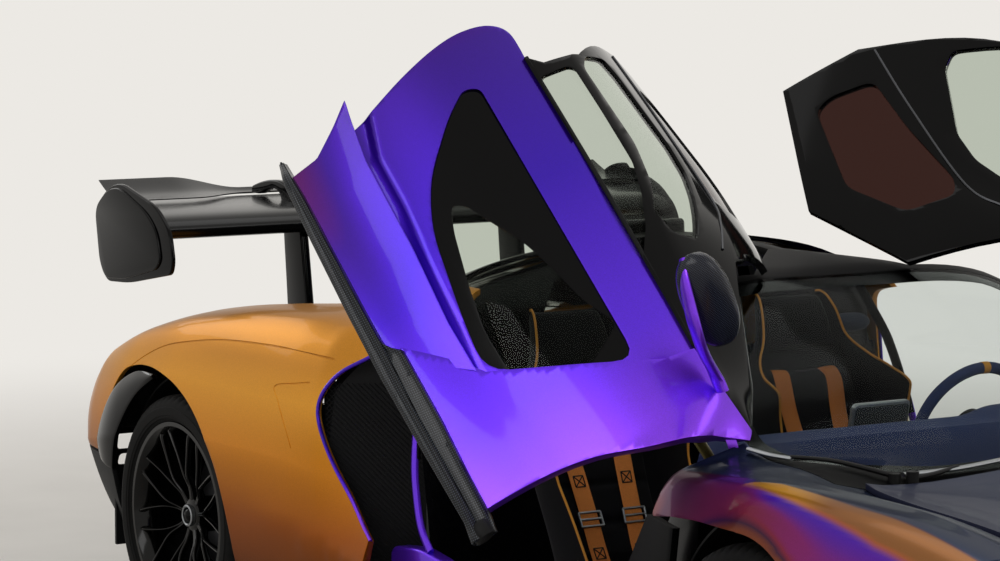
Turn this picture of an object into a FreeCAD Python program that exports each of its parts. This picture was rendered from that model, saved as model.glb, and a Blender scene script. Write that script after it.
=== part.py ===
# A mid-engined two-seat supercar with its two dihedral doors raised, as an assembly of separate pieces.
# Row frame: +X forward, +Y to the car's left, +Z up, origin on the ground under the middle of the car.
# Lengths are in millimetres.
# The left-hand pieces are mirror images of the right-hand ones, which lie at negative Y.

import FreeCAD, Part
import Sketcher

import math
import os

V = FreeCAD.Vector
doc = FreeCAD.newDocument("supercar")

# Driving dimensions: alias, value in millimetres or degrees, what it is
DIMENSIONS = [
    ("front_axle", 1186, "X of the front axle"),
    ("rear_axle", -1484, "X of the rear axle"),
    ("front_tyre_radius", 327, "245/35 R19"),
    ("front_tyre_width", 245, ""),
    ("front_rim_radius", 246, "over the rim flange"),
    ("front_wheel_y", 818, "half the front track"),
    ("rear_tyre_radius", 348, "315/30 R20"),
    ("rear_tyre_width", 315, ""),
    ("rear_rim_radius", 259, "over the rim flange"),
    ("rear_wheel_y", 811, "half the rear track"),
    ("disc_radius", 190, "brake disc"),
    ("disc_thickness", 34, ""),
    ("front_arch_radius", 358, "wheel opening in the front wing"),
    ("front_liner_radius", 392, "inside of the front wheel housing"),
    ("rear_liner_radius", 400, "inside of the rear wheel housing"),
    ("spoke_count", 9, "Y spokes in each wheel"),
    ("kingpin_y", 738, "half the distance between the steering axes"),
    ("shut_gap", 7, "gap round a door"),
    ("panel_wall", 26, "body panel"),
    ("glass_wall", 6, "window pane"),
    ("door_angle", 64, "how far the doors are swung up"),
    ("hinge_low_x", 740, "lower door hinge"),
    ("hinge_low_y", 690, ""),
    ("hinge_low_z", 730, ""),
    ("hinge_high_x", 265, "upper door hinge, on the screen header"),
    ("hinge_high_y", 180, ""),
    ("hinge_high_z", 1160, ""),
    ("spine_half", 30, "half width of the roof spine between the doors"),
    ("hinge_pin_radius", 9, "lower door hinge"),
    ("hinge_eye_bore", 14, "loose round the pin"),
    ("seat_y", 370, "seat centre"),
    ("seat_width", 450, ""),
    ("floor_top", 140, "top of the floor of the tub"),
    ("steering_wheel_radius", 165, "to the middle of the rim"),
    ("steering_grip_radius", 15, "section of the rim"),
    ("steering_x", 400, "middle of the steering wheel"),
    ("steering_z", 735, ""),
    ("column_tilt", 22, "degrees from level"),
    ("wing_half_span", 888, "rear wing, to the end plates"),
    ("plate_wall", 14, "rear wing end plate"),
    ("pylon_y", 380, "half the distance between the wing pylons"),
    ("pylon_wall", 24, ""),
    ("pipe_radius", 42, "exhaust pipe"),
    ("pipe_bore", 39, ""),
    ("pipe_length", 190, ""),
    ("engine_length", 640, ""),
    ("engine_width", 560, ""),
    ("engine_height", 520, ""),
]
sheet = doc.addObject("Spreadsheet::Sheet", "dimensions")
for row, (alias, value, note) in enumerate(DIMENSIONS, start=1):
    sheet.set(f"A{row}", alias)
    sheet.set(f"B{row}", str(value))
    sheet.setAlias(f"B{row}", alias)
    if note:
        sheet.set(f"C{row}", note)
doc.recompute()
dim = {alias: float(sheet.get(alias)) for alias, _, _ in DIMENSIONS}

# Body sections, right half, from the floor's edge up to the centre line. Columns:
# x | floor y, z | sill y, z | crease y, z | waist y, z | crest y, z | rail y, z | roof edge y, z | centre z
SECTIONS = [
    (2330, 560, 150, 640, 190, 690, 260, 660, 350, 580, 400, 430, 415, 220, 418, 420),
    (2180, 740, 120, 840, 190, 890, 340, 870, 500, 800, 572, 670, 578, 400, 520, 505),
    (1900, 820, 110, 920, 195, 957, 400, 937, 605, 872, 704, 740, 712, 470, 625, 612),
    (1560, 850, 105, 945, 200, 979, 450, 957, 664, 882, 764, 760, 774, 500, 680, 668),
    (1186, 850, 105, 950, 205, 983, 450, 960, 676, 882, 778, 770, 784, 520, 722, 730),
    (1000, 850, 105, 945, 210, 970, 445, 945, 675, 866, 770, 770, 780, 440, 775, 808),
    (830, 850, 105, 935, 215, 955, 440, 928, 672, 866, 758, 770, 775, 640, 803, 890),
    (745, 850, 105, 932, 218, 938, 434, 905, 700, 830, 750, 735, 850, 650, 872, 935),
    (600, 850, 105, 928, 222, 912, 425, 862, 760, 815, 862, 760, 893, 676, 935, 1003),
    (245, 850, 105, 932, 255, 905, 444, 852, 778, 800, 893, 740, 978, 520, 1118, 1158),
    (-100, 850, 105, 940, 300, 902, 497, 850, 816, 795, 930, 690, 1048, 240, 1176, 1193),
    (-470, 850, 105, 948, 342, 900, 548, 850, 840, 765, 975, 665, 1077, 230, 1176, 1190),
    (-700, 850, 110, 945, 260, 962, 575, 948, 800, 862, 955, 735, 995, 290, 1100, 1150),
    (-850, 850, 115, 945, 230, 978, 595, 958, 805, 872, 962, 745, 990, 330, 1020, 1085),
    (-1150, 850, 125, 945, 215, 990, 600, 965, 792, 880, 950, 762, 974, 400, 935, 990),
    (-1484, 850, 150, 945, 220, 992, 580, 965, 765, 880, 912, 772, 934, 480, 880, 900),
    (-1800, 850, 200, 930, 260, 980, 540, 955, 705, 875, 845, 782, 868, 520, 835, 845),
    (-2060, 800, 270, 880, 320, 938, 500, 914, 650, 850, 764, 770, 788, 520, 775, 785),
    (-2230, 700, 340, 800, 380, 862, 480, 850, 600, 800, 698, 720, 725, 500, 730, 735),
]
# How far the inner face of the doors' shell lies inside the skin at each of those eight points
DOOR_WALL = (45, 45, 45, 42, 36, 26, 26, 26)
SHARPEST = 0.35  # limits how far a mitre reaches at a sharp corner
SLIVER = 2000    # cubic millimetres


def offset_outline(points, distances):
    """A closed outline moved to the left of its direction by one distance for each point, with mitres."""
    count = len(points)
    moved = []
    for i, (px, py) in enumerate(points):
        normals = []
        for (ax, ay), (bx, by) in ((points[i - 1], (px, py)), ((px, py), points[(i + 1) % count])):
            length = math.hypot(bx - ax, by - ay)
            if length > 0:
                normals.append(((ay - by) / length, (bx - ax) / length))
        nx = sum(n[0] for n in normals) / len(normals)
        ny = sum(n[1] for n in normals) / len(normals)
        scale = distances[i] / max(nx * nx + ny * ny, SHARPEST)
        moved.append((px + nx * scale, py + ny * scale))
    return moved


def grown(points, distance):
    """A closed outline grown outwards by a distance."""
    area = sum(a[0] * b[1] - b[0] * a[1] for a, b in zip(points, points[1:] + points[:1]))
    side = -1 if area > 0 else 1
    return offset_outline(points, [side * distance] * len(points))


def face_of(corners):
    return Part.Face(Part.makePolygon(corners + corners[:1]))


def prism_xz(outline, y_from, y_to):
    """A side-view outline of (x, z) points run from one Y to another."""
    return face_of([V(x, y_from, z) for x, z in outline]).extrude(V(0, y_to - y_from, 0))


def prism_xy(outline, z_from, z_to):
    """A plan-view outline of (x, y) points run from one Z to another."""
    return face_of([V(x, y, z_from) for x, y in outline]).extrude(V(0, 0, z_to - z_from))


def prism_yz(outline, x_from, x_to):
    """A front-view outline of (y, z) points run from one X to another."""
    return face_of([V(x_from, y, z) for y, z in outline]).extrude(V(x_to - x_from, 0, 0))


def block(x_from, x_to, y_from, y_to, z_from, z_to):
    return Part.makeBox(x_to - x_from, y_to - y_from, z_to - z_from, V(x_from, y_from, z_from))


def mirrored(shape):
    return shape.mirror(V(0, 0, 0), V(0, 1, 0))


def both(shape):
    """The right-hand piece and its mirror image, as one shape of solids that don't touch."""
    return Part.makeCompound([shape, mirrored(shape)])


def symmetric(outline):
    """A half outline of (x, y) points at negative Y, closed with its mirror image."""
    return outline + [(x, -y) for x, y in reversed(outline) if y < 0]


def symmetric_front(outline):
    """The same for a front view's (y, z) points."""
    return outline + [(-y, z) for y, z in reversed(outline) if y < 0]


def rod(start, end, radius):
    along = end - start
    return Part.makeCylinder(radius, along.Length, start, along)


def body_form(x_low, x_high, inset):
    """The body's solid between two stations, its skin moved inwards by an inset for each point."""
    wires = []
    for row in SECTIONS:
        if not x_low <= row[0] <= x_high:
            continue
        half = [(-row[i], row[i + 1]) for i in range(1, 15, 2)] + [(0.0, row[15])]
        outline = half + [(-y, z) for y, z in reversed(half[:-1])]
        insets = list(inset) + list(reversed(inset[:-1]))
        section = offset_outline(outline, [-d for d in insets])
        wires.append(Part.makePolygon([V(row[0], y, z) for y, z in section + section[:1]]))
    return Part.makeLoft(wires, True, True)


def skin(x_low, x_high, inset, outset=0):
    """A wall that follows the body's surface."""
    outer = body_form(x_low, x_high, [outset] * 8)
    return outer.cut(body_form(x_low, x_high, inset))


def solid_only(shape):
    """The solids of a boolean's result, without slivers."""
    solids = [s for s in shape.Solids if s.Volume > SLIVER]
    return solids[0] if len(solids) == 1 else Part.makeCompound(solids)


parts = []


def part(name, shape, placement=None):
    """One piece of the car as an object of the document."""
    piece = doc.addObject("Part::Feature", name)
    piece.Label = name
    piece.Shape = shape
    if placement is not None:
        piece.Placement = placement
    parts.append(piece)
    return piece


# The lofted panels follow the body's surface. The wheels are bodies made from sketches whose points
# are bound to the sheet: each term is (alias, factor, offset) or a plain number.


def number(term):
    if isinstance(term, tuple):
        alias, factor, offset = term
        return dim[alias] * factor + offset
    return float(term)


def origin_feature(body, role):
    return next(f for f in body.Origin.OriginFeatures if f.Role == role)


def bound_sketch(body, name, outlines, plane="XY_Plane"):
    """A sketch of closed outlines, each point held by two distances from the origin."""
    sketch = body.newObject("Sketcher::SketchObject", name)
    sketch.AttachmentSupport = [(origin_feature(body, plane), "")]
    sketch.MapMode = "FlatFace"
    for outline in outlines:
        first = sketch.GeometryCount
        count = len(outline)
        values = [(number(px), number(py)) for px, py in outline]
        for i in range(count):
            start, end = values[i], values[(i + 1) % count]
            sketch.addGeometry(Part.LineSegment(V(*start, 0), V(*end, 0)))
        for i in range(count):
            following = first + (i + 1) % count
            sketch.addConstraint(Sketcher.Constraint("Coincident", first + i, 2, following, 1))
        for i, point in enumerate(outline):
            for kind, term in (("DistanceX", point[0]), ("DistanceY", point[1])):
                index = sketch.addConstraint(Sketcher.Constraint(kind, -1, 1, first + i, 1, number(term)))
                if isinstance(term, tuple):
                    alias, factor, offset = term
                    formula = f"dimensions.{alias} * {factor} + {offset}"
                    sketch.setExpression(f"Constraints[{index}]", formula)
    return sketch


def revolve(body, name, outline):
    """A ring turned about the sketch's upright axis; its points are (radius, distance along the axle)."""
    turned = body.newObject("PartDesign::Revolution", name)
    profile = bound_sketch(body, name + "_profile", [outline])
    turned.Profile = profile
    turned.ReferenceAxis = (profile, ["V_Axis"])
    turned.Angle = 360
    doc.recompute()
    body.Tip = turned
    return turned


def body_piece(name):
    body = doc.addObject("PartDesign::Body", name)
    body.Label = name
    parts.append(body)
    return body


wall = [dim["panel_wall"]] * 8
glass = [dim["glass_wall"]] * 8
CABIN_REAR, CABIN_FRONT = -470, 1186
middle_door = skin(CABIN_REAR, CABIN_FRONT, DOOR_WALL)
middle_glass = skin(CABIN_REAR, CABIN_FRONT, glass)
middle_wall = skin(CABIN_REAR, CABIN_FRONT, wall)

# Doors, drawn shut and then swung about the hinge line

# Side view of the shut right-hand door, from the tip by the screen pillar, clockwise
DOOR_FRONT = [(745, 864), (690, 783), (647, 666), (583, 533), (550, 400), (534, 226)]
DOOR_REAR = [
    (-428, 338), (-440, 472), (-502, 550), (-440, 588), (-466, 690), (-486, 800), (-484, 935), (-440, 975),
]
DOOR_ROOF = [(-350, 1000), (-350, 1085), (-468, 1215), (310, 1215), (310, 1086)]
door_outline = DOOR_FRONT + DOOR_REAR + DOOR_ROOF
spine = dim["spine_half"]
# Plan of the same door: along the spine, slantwise to the screen header, then down the screen pillar
DOOR_PLAN = [
    (-350, -spine), (57, -spine), (292, -250), (292, -505), (600, -655), (745, -752), (745, -1100),
    (-600, -1100), (-600, -420), (-427, -289),
]
LOWER_WINDOW = [
    (446, 748), (257, 444), (111, 477), (-105, 540), (-214, 608), (-317, 733), (-357, 800), (-340, 836),
]
SIDE_WINDOW = [(380, 885), (45, 925), (-330, 985), (-330, 1058), (-33, 1022), (160, 965)]
ROOF_WINDOW = [
    (35, -90), (-300, -90), (-370, -290), (-400, -560), (-330, -640), (40, -640), (215, -500), (225, -290),
]


def hinge_ends(side):
    low = V(dim["hinge_low_x"], side * dim["hinge_low_y"], dim["hinge_low_z"])
    high = V(dim["hinge_high_x"], side * dim["hinge_high_y"], dim["hinge_high_z"])
    return low, high


def swung(side, angle):
    """The placement that swings a shut door up on its slanting hinge line."""
    low, high = hinge_ends(side)
    return FreeCAD.Placement(V(0, 0, 0), FreeCAD.Rotation(high - low, -side * angle), low)


gap = dim["shut_gap"]
door_zone = prism_xz(door_outline, -1100, 0).common(prism_xy(DOOR_PLAN, 0, 1300))
door_room = prism_xz(grown(door_outline, gap), -1100, 0).common(prism_xy(grown(DOOR_PLAN, gap), 0, 1300))
# The room that the door's own wall needs while it swings, with 7 mm to spare all round
swept_wall = skin(CABIN_REAR, CABIN_FRONT, [inset + gap for inset in DOOR_WALL], -gap).common(door_room)
ALL_THE_WAY = (1, 3, 6, 10, 15, 21, 28, 37, 46, 55, 64)
FROM_SHUT = (0.5, 1, 1.5, 2, 2.5, 3, 3.5, 4, 5, 6, 8, 11)


def clear_of_doors(shape, angles=ALL_THE_WAY):
    """A piece of the body trimmed wherever a swinging door would come close to it."""
    for side, wall_room in ((-1, swept_wall), (1, mirrored(swept_wall))):
        for angle in angles:
            room = wall_room.copy()
            room.Placement = swung(side, angle)
            if room.BoundBox.intersect(shape.BoundBox):
                shape = shape.cut(room)
    return solid_only(shape)


window_cuts = [
    prism_xz(LOWER_WINDOW, -1100, -700),
    prism_xz(SIDE_WINDOW, -1100, -600),
    prism_xy(ROOF_WINDOW, 1070, 1300),
]
door_shell = middle_door.common(door_zone)
for cutter in window_cuts:
    door_shell = door_shell.cut(cutter)
door_glass = middle_glass.common(door_zone)
panes = Part.makeCompound([solid_only(door_glass.common(cutter)) for cutter in window_cuts])

# The carbon blade along the bottom of the door
BLADE = [
    (560, 142), (610, 200), (612, 228), (560, 250), (420, 288), (-440, 372), (-452, 335), (430, 236),
    (500, 190),
]
door_blade = prism_xz(BLADE, -948, -985)

# Lower hinge: a pin on an arm from the door, inside an eye that stands on the tub
hinge_low, hinge_high = hinge_ends(-1)
hinge_line = (hinge_high - hinge_low).normalize()


def along_hinge(distance):
    return hinge_low + hinge_line * distance


PIN_END, EYE_FROM, EYE_TO, ARM_AT = 44, -42, -22, 30
hinge_pin = rod(along_hinge(-PIN_END), along_hinge(PIN_END), dim["hinge_pin_radius"])
hinge_arm = rod(along_hinge(ARM_AT), V(640, -812, 752), 13)
door_hinge = solid_only(hinge_pin.fuse(hinge_arm).cut(middle_door))
eye_bore = rod(along_hinge(-80), along_hinge(80), dim["hinge_eye_bore"])
eye_ring = rod(along_hinge(EYE_FROM), along_hinge(EYE_TO), dim["hinge_eye_bore"] + 8)
eye_post = rod(along_hinge((EYE_FROM + EYE_TO) / 2), V(775, -706, 628), 12)
hinge_eye = eye_ring.fuse(eye_post).cut(eye_bore)


# The mirror housing and its stalk, out on the belt line
mirror_stalk = Part.makeLoft([
    Part.makePolygon([V(x, y, z) for x, y, z in ring + ring[:1]])
    for ring in (
        [(480, -800, 866), (560, -800, 850), (560, -822, 850), (480, -822, 866)],
        [(430, -880, 930), (490, -880, 930), (490, -900, 925), (430, -900, 925)],
    )
], True, True)
mirror_head = Part.makeLoft([
    Part.makePolygon([V(x, y, z) for y, z in ring + ring[:1]])
    for x, ring in (
        (395, [(-872, 905), (-1075, 905), (-1085, 960), (-1065, 1015), (-890, 1015), (-868, 960)]),
        (470, [(-876, 905), (-1070, 910), (-1078, 955), (-1055, 1005), (-895, 1008), (-872, 960)]),
        (530, [(-900, 925), (-1030, 930), (-1035, 955), (-1020, 980), (-915, 985), (-900, 960)]),
    )
], True, True)
door_mirror = solid_only(mirror_stalk.fuse(mirror_head).cut(door_shell))

RIGHT, LEFT = -1, 1
DOOR_PIECES = [
    ("shell", door_shell),
    ("glass", panes),
    ("blade", door_blade),
    ("mirror", door_mirror),
    ("hinge", door_hinge),
]
for side_name, side in (("right", RIGHT), ("left", LEFT)):
    for kind, shut in DOOR_PIECES:
        shape = shut if side == RIGHT else mirrored(shut)
        part(f"door_{kind}_{side_name}", shape, swung(side, dim["door_angle"]))

# Screen, its pillars and the roof spine

SCREEN = [(1120, 0), (1090, -300), (985, -480), (850, -550), (620, -580), (350, -470), (330, -300), (320, 0)]
screen_cut = prism_xy(symmetric(SCREEN), 700, 1300)
door_rooms = both(door_room)
upper_cabin = block(-480, 860, -640, 640, 790, 1300)
screen_frame = middle_wall.common(upper_cabin).cut(door_rooms).cut(screen_cut)
part("screen_frame", clear_of_doors(screen_frame))
part("windscreen", clear_of_doors(middle_glass.common(screen_cut).cut(door_rooms)))

# Front panels

front_skin = skin(600, 2330, wall)
front_axle, rear_axle = dim["front_axle"], dim["rear_axle"]
axle_height = dim["front_tyre_radius"]
arch_line = V(front_axle, -1100, axle_height), V(front_axle, 1100, axle_height)
front_arches = rod(*arch_line, dim["front_arch_radius"])
NOSE_X, COWL_X, BONNET_HALF, COWL_HALF, PANEL_GAP = 1900, 1140, 556, 642, 4
scuttle = front_skin.common(block(864, COWL_X - PANEL_GAP, -COWL_HALF, COWL_HALF, 600, 1000)).cut(screen_cut)
part("scuttle", clear_of_doors(scuttle))
bonnet_zone = block(COWL_X, NOSE_X - PANEL_GAP, -BONNET_HALF, BONNET_HALF, 500, 900)
part("bonnet", solid_only(front_skin.common(bonnet_zone)))

WING = [
    (786, 1000), (786, 745), (800, 662), (1010, 640), (1400, 671), (1400, 240), (1896, 240), (1896, 1000),
]
wing_zone = prism_xz(WING, -1100, -BONNET_HALF - PANEL_GAP)
front_wing = front_skin.common(wing_zone).cut(front_arches)
front_wing = front_wing.cut(block(500, COWL_X, -COWL_HALF - PANEL_GAP, 0, 400, 1200))
front_wing = clear_of_doors(front_wing)
part("front_wing_right", front_wing)
part("front_wing_left", mirrored(front_wing))

LAMP = [(1985, -905), (2230, -800), (2215, -640), (2030, -690)]
lamp_cut = prism_xy(LAMP, 440, 700)
lamps = front_skin.common(both(lamp_cut))
intake = prism_yz([(-600, 190), (-560, 330), (-120, 360), (-120, 190)], 2100, 2400)
nose = front_skin.common(block(NOSE_X, 2330, -1000, 1000, 125, 900)).cut(both(lamp_cut)).cut(both(intake))
nose_face = body_form(1900, 2330, [0] * 8).common(block(2304, 2340, -1000, 1000, 125, 900)).cut(both(intake))
part("nose", solid_only(nose.fuse(nose_face)))
part("headlamps", Part.makeCompound([s for s in lamps.Solids if s.Volume > 2000]))
SPLITTER = [(2372, 0), (2350, -420), (2240, -740), (2090, -900), (1700, -968), (1580, -960), (1580, -700)]
TRAY_BOTTOM, TRAY_TOP = 93, 104.5
part("front_splitter", prism_xy(symmetric(SPLITTER), 78, TRAY_BOTTOM - 0.5))

# Tub, with the rear bulkhead, the floor under the car and the wheel housings

DOORWAY_SILL = [(-560, 105), (785, 105), (785, 200), (545, 205), (-420, 318), (-560, 330)]
FOOTWELL = [(560, 225), (785, 200), (785, 660), (690, 660), (612, 533), (580, 400)]
SILL_OUT, SILL_IN = -895, -602
floor = block(-560, 786, SILL_IN, -SILL_IN, 105, dim["floor_top"])
sill = prism_xz(DOORWAY_SILL, SILL_OUT, SILL_IN)
footwell = prism_xz(FOOTWELL, -770, -740)
dash_wall = block(764, 786, -770, 770, 105, 640)
tub = floor.fuse(both(sill)).fuse(both(footwell)).fuse(dash_wall).fuse(both(hinge_eye))
part("tub", tub)

SKIRT_FRONT = [(600, 206), (850, 206), (850, 640), (700, 650), (630, 533), (595, 400)]
SKIRT_RECESS = 45
skirt_wall = skin(CABIN_REAR, CABIN_FRONT, [SKIRT_RECESS + 20] * 8, SKIRT_RECESS)
skirt_front = skirt_wall.common(prism_xz(SKIRT_FRONT, -1100, -780)).cut(door_room).cut(front_arches)
SKIRT_PLAN = [(840, -850), (840, -955), (500, -972), (-900, -985), (-1085, -960), (-1085, -850)]
SKIRT_TOP = [(-1090, 190), (-300, 200), (600, 190), (620, 205), (620, 260), (-1090, 260)]
skirt_low = prism_xy(SKIRT_PLAN, TRAY_BOTTOM, 205).cut(prism_xz(SKIRT_TOP, -1100, -850)).cut(sill)
blade_room = prism_xz(grown(BLADE, gap), -1000, -940)
skirt_low = skirt_low.cut(blade_room)
skirt_front = clear_of_doors(skirt_front).cut(tub)
part("side_skirts", both(Part.makeCompound([solid_only(skirt_front), solid_only(skirt_low)])))
BULKHEAD = [(-420, 141), (-390, 141), (-478, 640), (-478, 1150), (-506, 1150), (-506, 640)]
cabin_form = body_form(-850, CABIN_FRONT, [30] * 8)
bulkhead = prism_xz(BULKHEAD, -735, 735).common(cabin_form)
bulkhead = bulkhead.cut(prism_yz(symmetric_front([(-420, 860), (-330, 1080)]), -600, -400))
part("rear_bulkhead", solid_only(bulkhead.cut(both(sill))))
UNDERTRAY = [
    (2150, -850), (1590, -850), (1590, -530), (790, -530), (790, -850), (-1040, -850), (-1040, -600),
    (-1700, -600),
]
undertray = prism_xy(symmetric(UNDERTRAY), TRAY_BOTTOM, TRAY_TOP)
JACK_X, JACK_Y, JACK_BOTTOM = (640, -960), 760, 84
jack_pads = [block(x - 50, x + 50, -JACK_Y - 30, -JACK_Y + 30, JACK_BOTTOM, TRAY_BOTTOM + 1) for x in JACK_X]
part("undertray", undertray.fuse([both(pad) for pad in jack_pads]))


def housing(axle_x, centre_z, radius, y_from, y_to):
    """The upper half of a wheel housing."""
    thick = 6
    start, end = V(axle_x, y_from, centre_z), V(axle_x, y_to, centre_z)
    ring = rod(start, end, radius + thick).cut(rod(start, end, radius))
    return ring.common(block(axle_x - 600, axle_x + 600, y_from, y_to, centre_z, centre_z + 600))


front_housing = housing(front_axle, axle_height, dim["front_liner_radius"], -850, -610)
front_housing = front_housing.common(body_form(CABIN_REAR, 2180, [30] * 8))
rear_housing = housing(rear_axle, dim["rear_tyre_radius"], dim["rear_liner_radius"], -900, -610)
rear_housing = rear_housing.common(body_form(-2230, -700, [30] * 8))
part("wheel_housings", Part.makeCompound([both(solid_only(front_housing)), both(solid_only(rear_housing))]))

# Cabin

DASHBOARD = [(500, 770), (560, 800), (760, 790), (760, 560), (620, 560), (530, 680)]
column_tilt = math.radians(dim["column_tilt"])
column_line = V(math.cos(column_tilt), 0, -math.sin(column_tilt))
column_start = V(dim["steering_x"], dim["seat_y"], dim["steering_z"])
dashboard = prism_xz(DASHBOARD, -630, 630).common(cabin_form)
dashboard = dashboard.cut(rod(column_start, column_start + column_line * 330, 42))
part("dashboard", clear_of_doors(dashboard))

SEAT = [
    (-130, 145), (330, 165), (375, 255), (330, 285), (0, 215), (-75, 235), (-300, 700), (-345, 960),
    (-375, 1010), (-425, 1000), (-430, 930), (-380, 700), (-180, 170),
]
SEAT_SIDE = [
    (-130, 145), (330, 165), (375, 255), (330, 335), (40, 330), (-20, 380), (-180, 660), (-290, 780),
    (-370, 790), (-385, 700), (-180, 170),
]
half_seat = dim["seat_width"] / 2


def seat(centre):
    """A one-piece bucket seat with raised sides and two slots for the shoulder belts."""
    shape = prism_xz(SEAT, centre - half_seat + 40, centre + half_seat - 40)
    for side in (-1, 1):
        outer, inner = centre + side * half_seat, centre + side * (half_seat - 42)
        shape = shape.fuse(prism_xz(SEAT_SIDE, outer, inner))
        near, far = sorted((centre + side * 35, centre + side * 100))
        shape = shape.cut(block(-500, -200, near, far, 790, 830))
    return shape


part("seat_right", seat(-dim["seat_y"]))
part("seat_left", seat(dim["seat_y"]))

# Rear panels

COVER_HALF, COVER_X = 650, -482
QUARTER = [
    (-343, 1085), (-343, 1007), (-440, 983), (-493, 940), (-520, 890), (-625, 832), (-668, 774), (-663, 721),
    (-642, 644), (-575, 520), (-450, 425), (-450, 330), (-1100, 230), (-1896, 230), (-1896, 480),
    (-2232, 480), (-2232, 920), (-700, 1130), (-482, 1200),
]
REAR_ARCH = [
    (-1128, 200), (-1128, 276), (-1154, 451), (-1199, 543), (-1273, 631), (-1350, 687), (-1421, 719),
    (-1536, 747), (-1832, 730), (-1890, 600), (-1890, 200),
]
rear_height = dim["rear_tyre_radius"]
rear_skin = skin(-2230, -100, wall)
rear_arch = prism_xz(REAR_ARCH, -1100, -COVER_HALF)
tyre_room = rod(V(rear_axle, -975, rear_height), V(rear_axle, -600, rear_height), rear_height + 12)
quarter = rear_skin.common(prism_xz(QUARTER, -1100, -COVER_HALF - PANEL_GAP)).cut(rear_arch)
quarter = clear_of_doors(quarter.cut(tyre_room).cut(door_room), FROM_SHUT)
part("quarter_right", quarter)
part("quarter_left", mirrored(quarter))

cover = rear_skin.common(block(-2230, COVER_X, -COVER_HALF, COVER_HALF, 640, 1300))
pipe_line = V(-0.5, 0, 0.866)
for pipe_y in (-95, 0, 95):
    foot = V(-1840, pipe_y, 700)
    cover = cover.cut(rod(foot, foot + pipe_line * 300, dim["pipe_radius"] + 8))
SCOOP = [(-490, 1100), (-490, 1228), (-560, 1205), (-760, 1090), (-760, 1050)]
SCOOP_DUCT = [(-480, 1120), (-480, 1220), (-560, 1197), (-600, 1150)]
scoop = prism_xz(SCOOP, -115, 115).cut(prism_xz(SCOOP_DUCT, -107, 107))
part("roof_scoop", solid_only(scoop.cut(body_form(-1150, 600, [0] * 8))))
LOUVRE_COUNT, LOUVRE_PITCH, LOUVRE_WIDTH, LOUVRE_LEAN = 6, 120, 34, 30
for i in range(LOUVRE_COUNT):
    top_x = -1000 - LOUVRE_PITCH * i
    low_x = top_x - LOUVRE_LEAN
    louvre = [(top_x, 1300), (low_x, 700), (low_x - LOUVRE_WIDTH, 700), (top_x - LOUVRE_WIDTH, 1300)]
    cover = cover.cut(prism_xz(louvre, -300, 300))
part("engine_cover", solid_only(cover))

TAIL = [(-1850, 150), (-1850, 200), (-1899, 230), (-1899, 473), (-2240, 473), (-2240, 200)]
bumper = rear_skin.common(prism_xz(TAIL, -1100, 1100)).cut(block(-2300, -1850, -620, 620, 100, 480))
tail_panel = prism_yz(symmetric_front([(-830, 480), (-775, 690), (-700, 712), (-500, 722)]), -2246, -2232)
tail_panel = tail_panel.cut(prism_yz(symmetric_front([(-560, 500), (-540, 640)]), -2300, -2200))
part("rear_bumper", solid_only(bumper))
part("tail_panel", tail_panel)
part("tail_lamps", both(block(-2262, -2246, -770, -580, 640, 658)))
DIFFUSER = [(-1700, 93), (-1900, 150), (-2372, 400), (-2372, 412), (-1900, 163), (-1700, 105)]
diffuser = prism_xz(DIFFUSER, -640, 640)
for fin_y in (-634, -430, -215, 0, 215, 430, 634):
    diffuser = diffuser.fuse(prism_xz([(-1720, 97), (-1900, 152), (-2365, 402), (-2365, 260), (-1900, 100)],
                                      fin_y - 5, fin_y + 5))
part("diffuser", diffuser)

GRILLE = [(-700, -950), (-712, -940), (-545, -700), (-530, -706)]
grille = prism_xy(GRILLE, 335, 900).common(body_form(-1150, -100, [32] * 8))
part("intake_grilles", both(solid_only(grille)))

# Rear wing on its two pylons

PYLON = [
    (-1710, 880), (-1830, 860), (-1850, 1080), (-1875, 1195), (-2040, 1214), (-2050, 1232), (-1900, 1250),
    (-1800, 1215), (-1750, 1120),
]
pylon = prism_xz(PYLON, -dim["pylon_y"] - dim["pylon_wall"] / 2, -dim["pylon_y"] + dim["pylon_wall"] / 2)
BLADE_MAIN = [
    (-1640, 1160), (-1665, 1178), (-1760, 1198), (-1880, 1205), (-2040, 1208), (-2040, 1196), (-1880, 1176),
    (-1760, 1158), (-1665, 1150),
]
FLAP = [(-2048, 1206), (-2058, 1216), (-2085, 1228), (-2087, 1218), (-2062, 1204)]
END_PLATE = [
    (-2002, 1253), (-2089, 1191), (-2060, 1026), (-2022, 973), (-1878, 979), (-1613, 1024), (-1600, 1063),
    (-1620, 1150), (-1703, 1215), (-1925, 1270),
]
span = dim["wing_half_span"]
blades = [prism_xz(outline, -span, span) for outline in (BLADE_MAIN, FLAP)]
plates = both(prism_xz(END_PLATE, -span - dim["plate_wall"], -span + 0.5))
rear_wing = plates.fuse(blades)
part("rear_wing", rear_wing.cut(both(pylon)))
part("wing_pylons", both(pylon))

# Suspension


def wishbone(axle_x, ball_y, foot_y, z, spread):
    """One two-legged arm with an eye at its outer end."""
    ball = V(axle_x, ball_y, z)
    legs = [rod(ball, V(axle_x + s * spread, foot_y, z), 11) for s in (-1, 1)]
    eye = Part.makeCylinder(12, 22, V(axle_x, ball_y, z - 11))
    return eye.fuse(legs)


kingpin = -dim["kingpin_y"]
front_arms = [wishbone(front_axle, kingpin, -440, axle_height + dz, 150) for dz in (-131, 131)]
front_subframe = block(front_axle - 190, front_axle + 190, -440, -410, axle_height - 160, axle_height + 160)
part("front_arms", both(front_arms[0].fuse([front_arms[1], front_subframe])))


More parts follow.
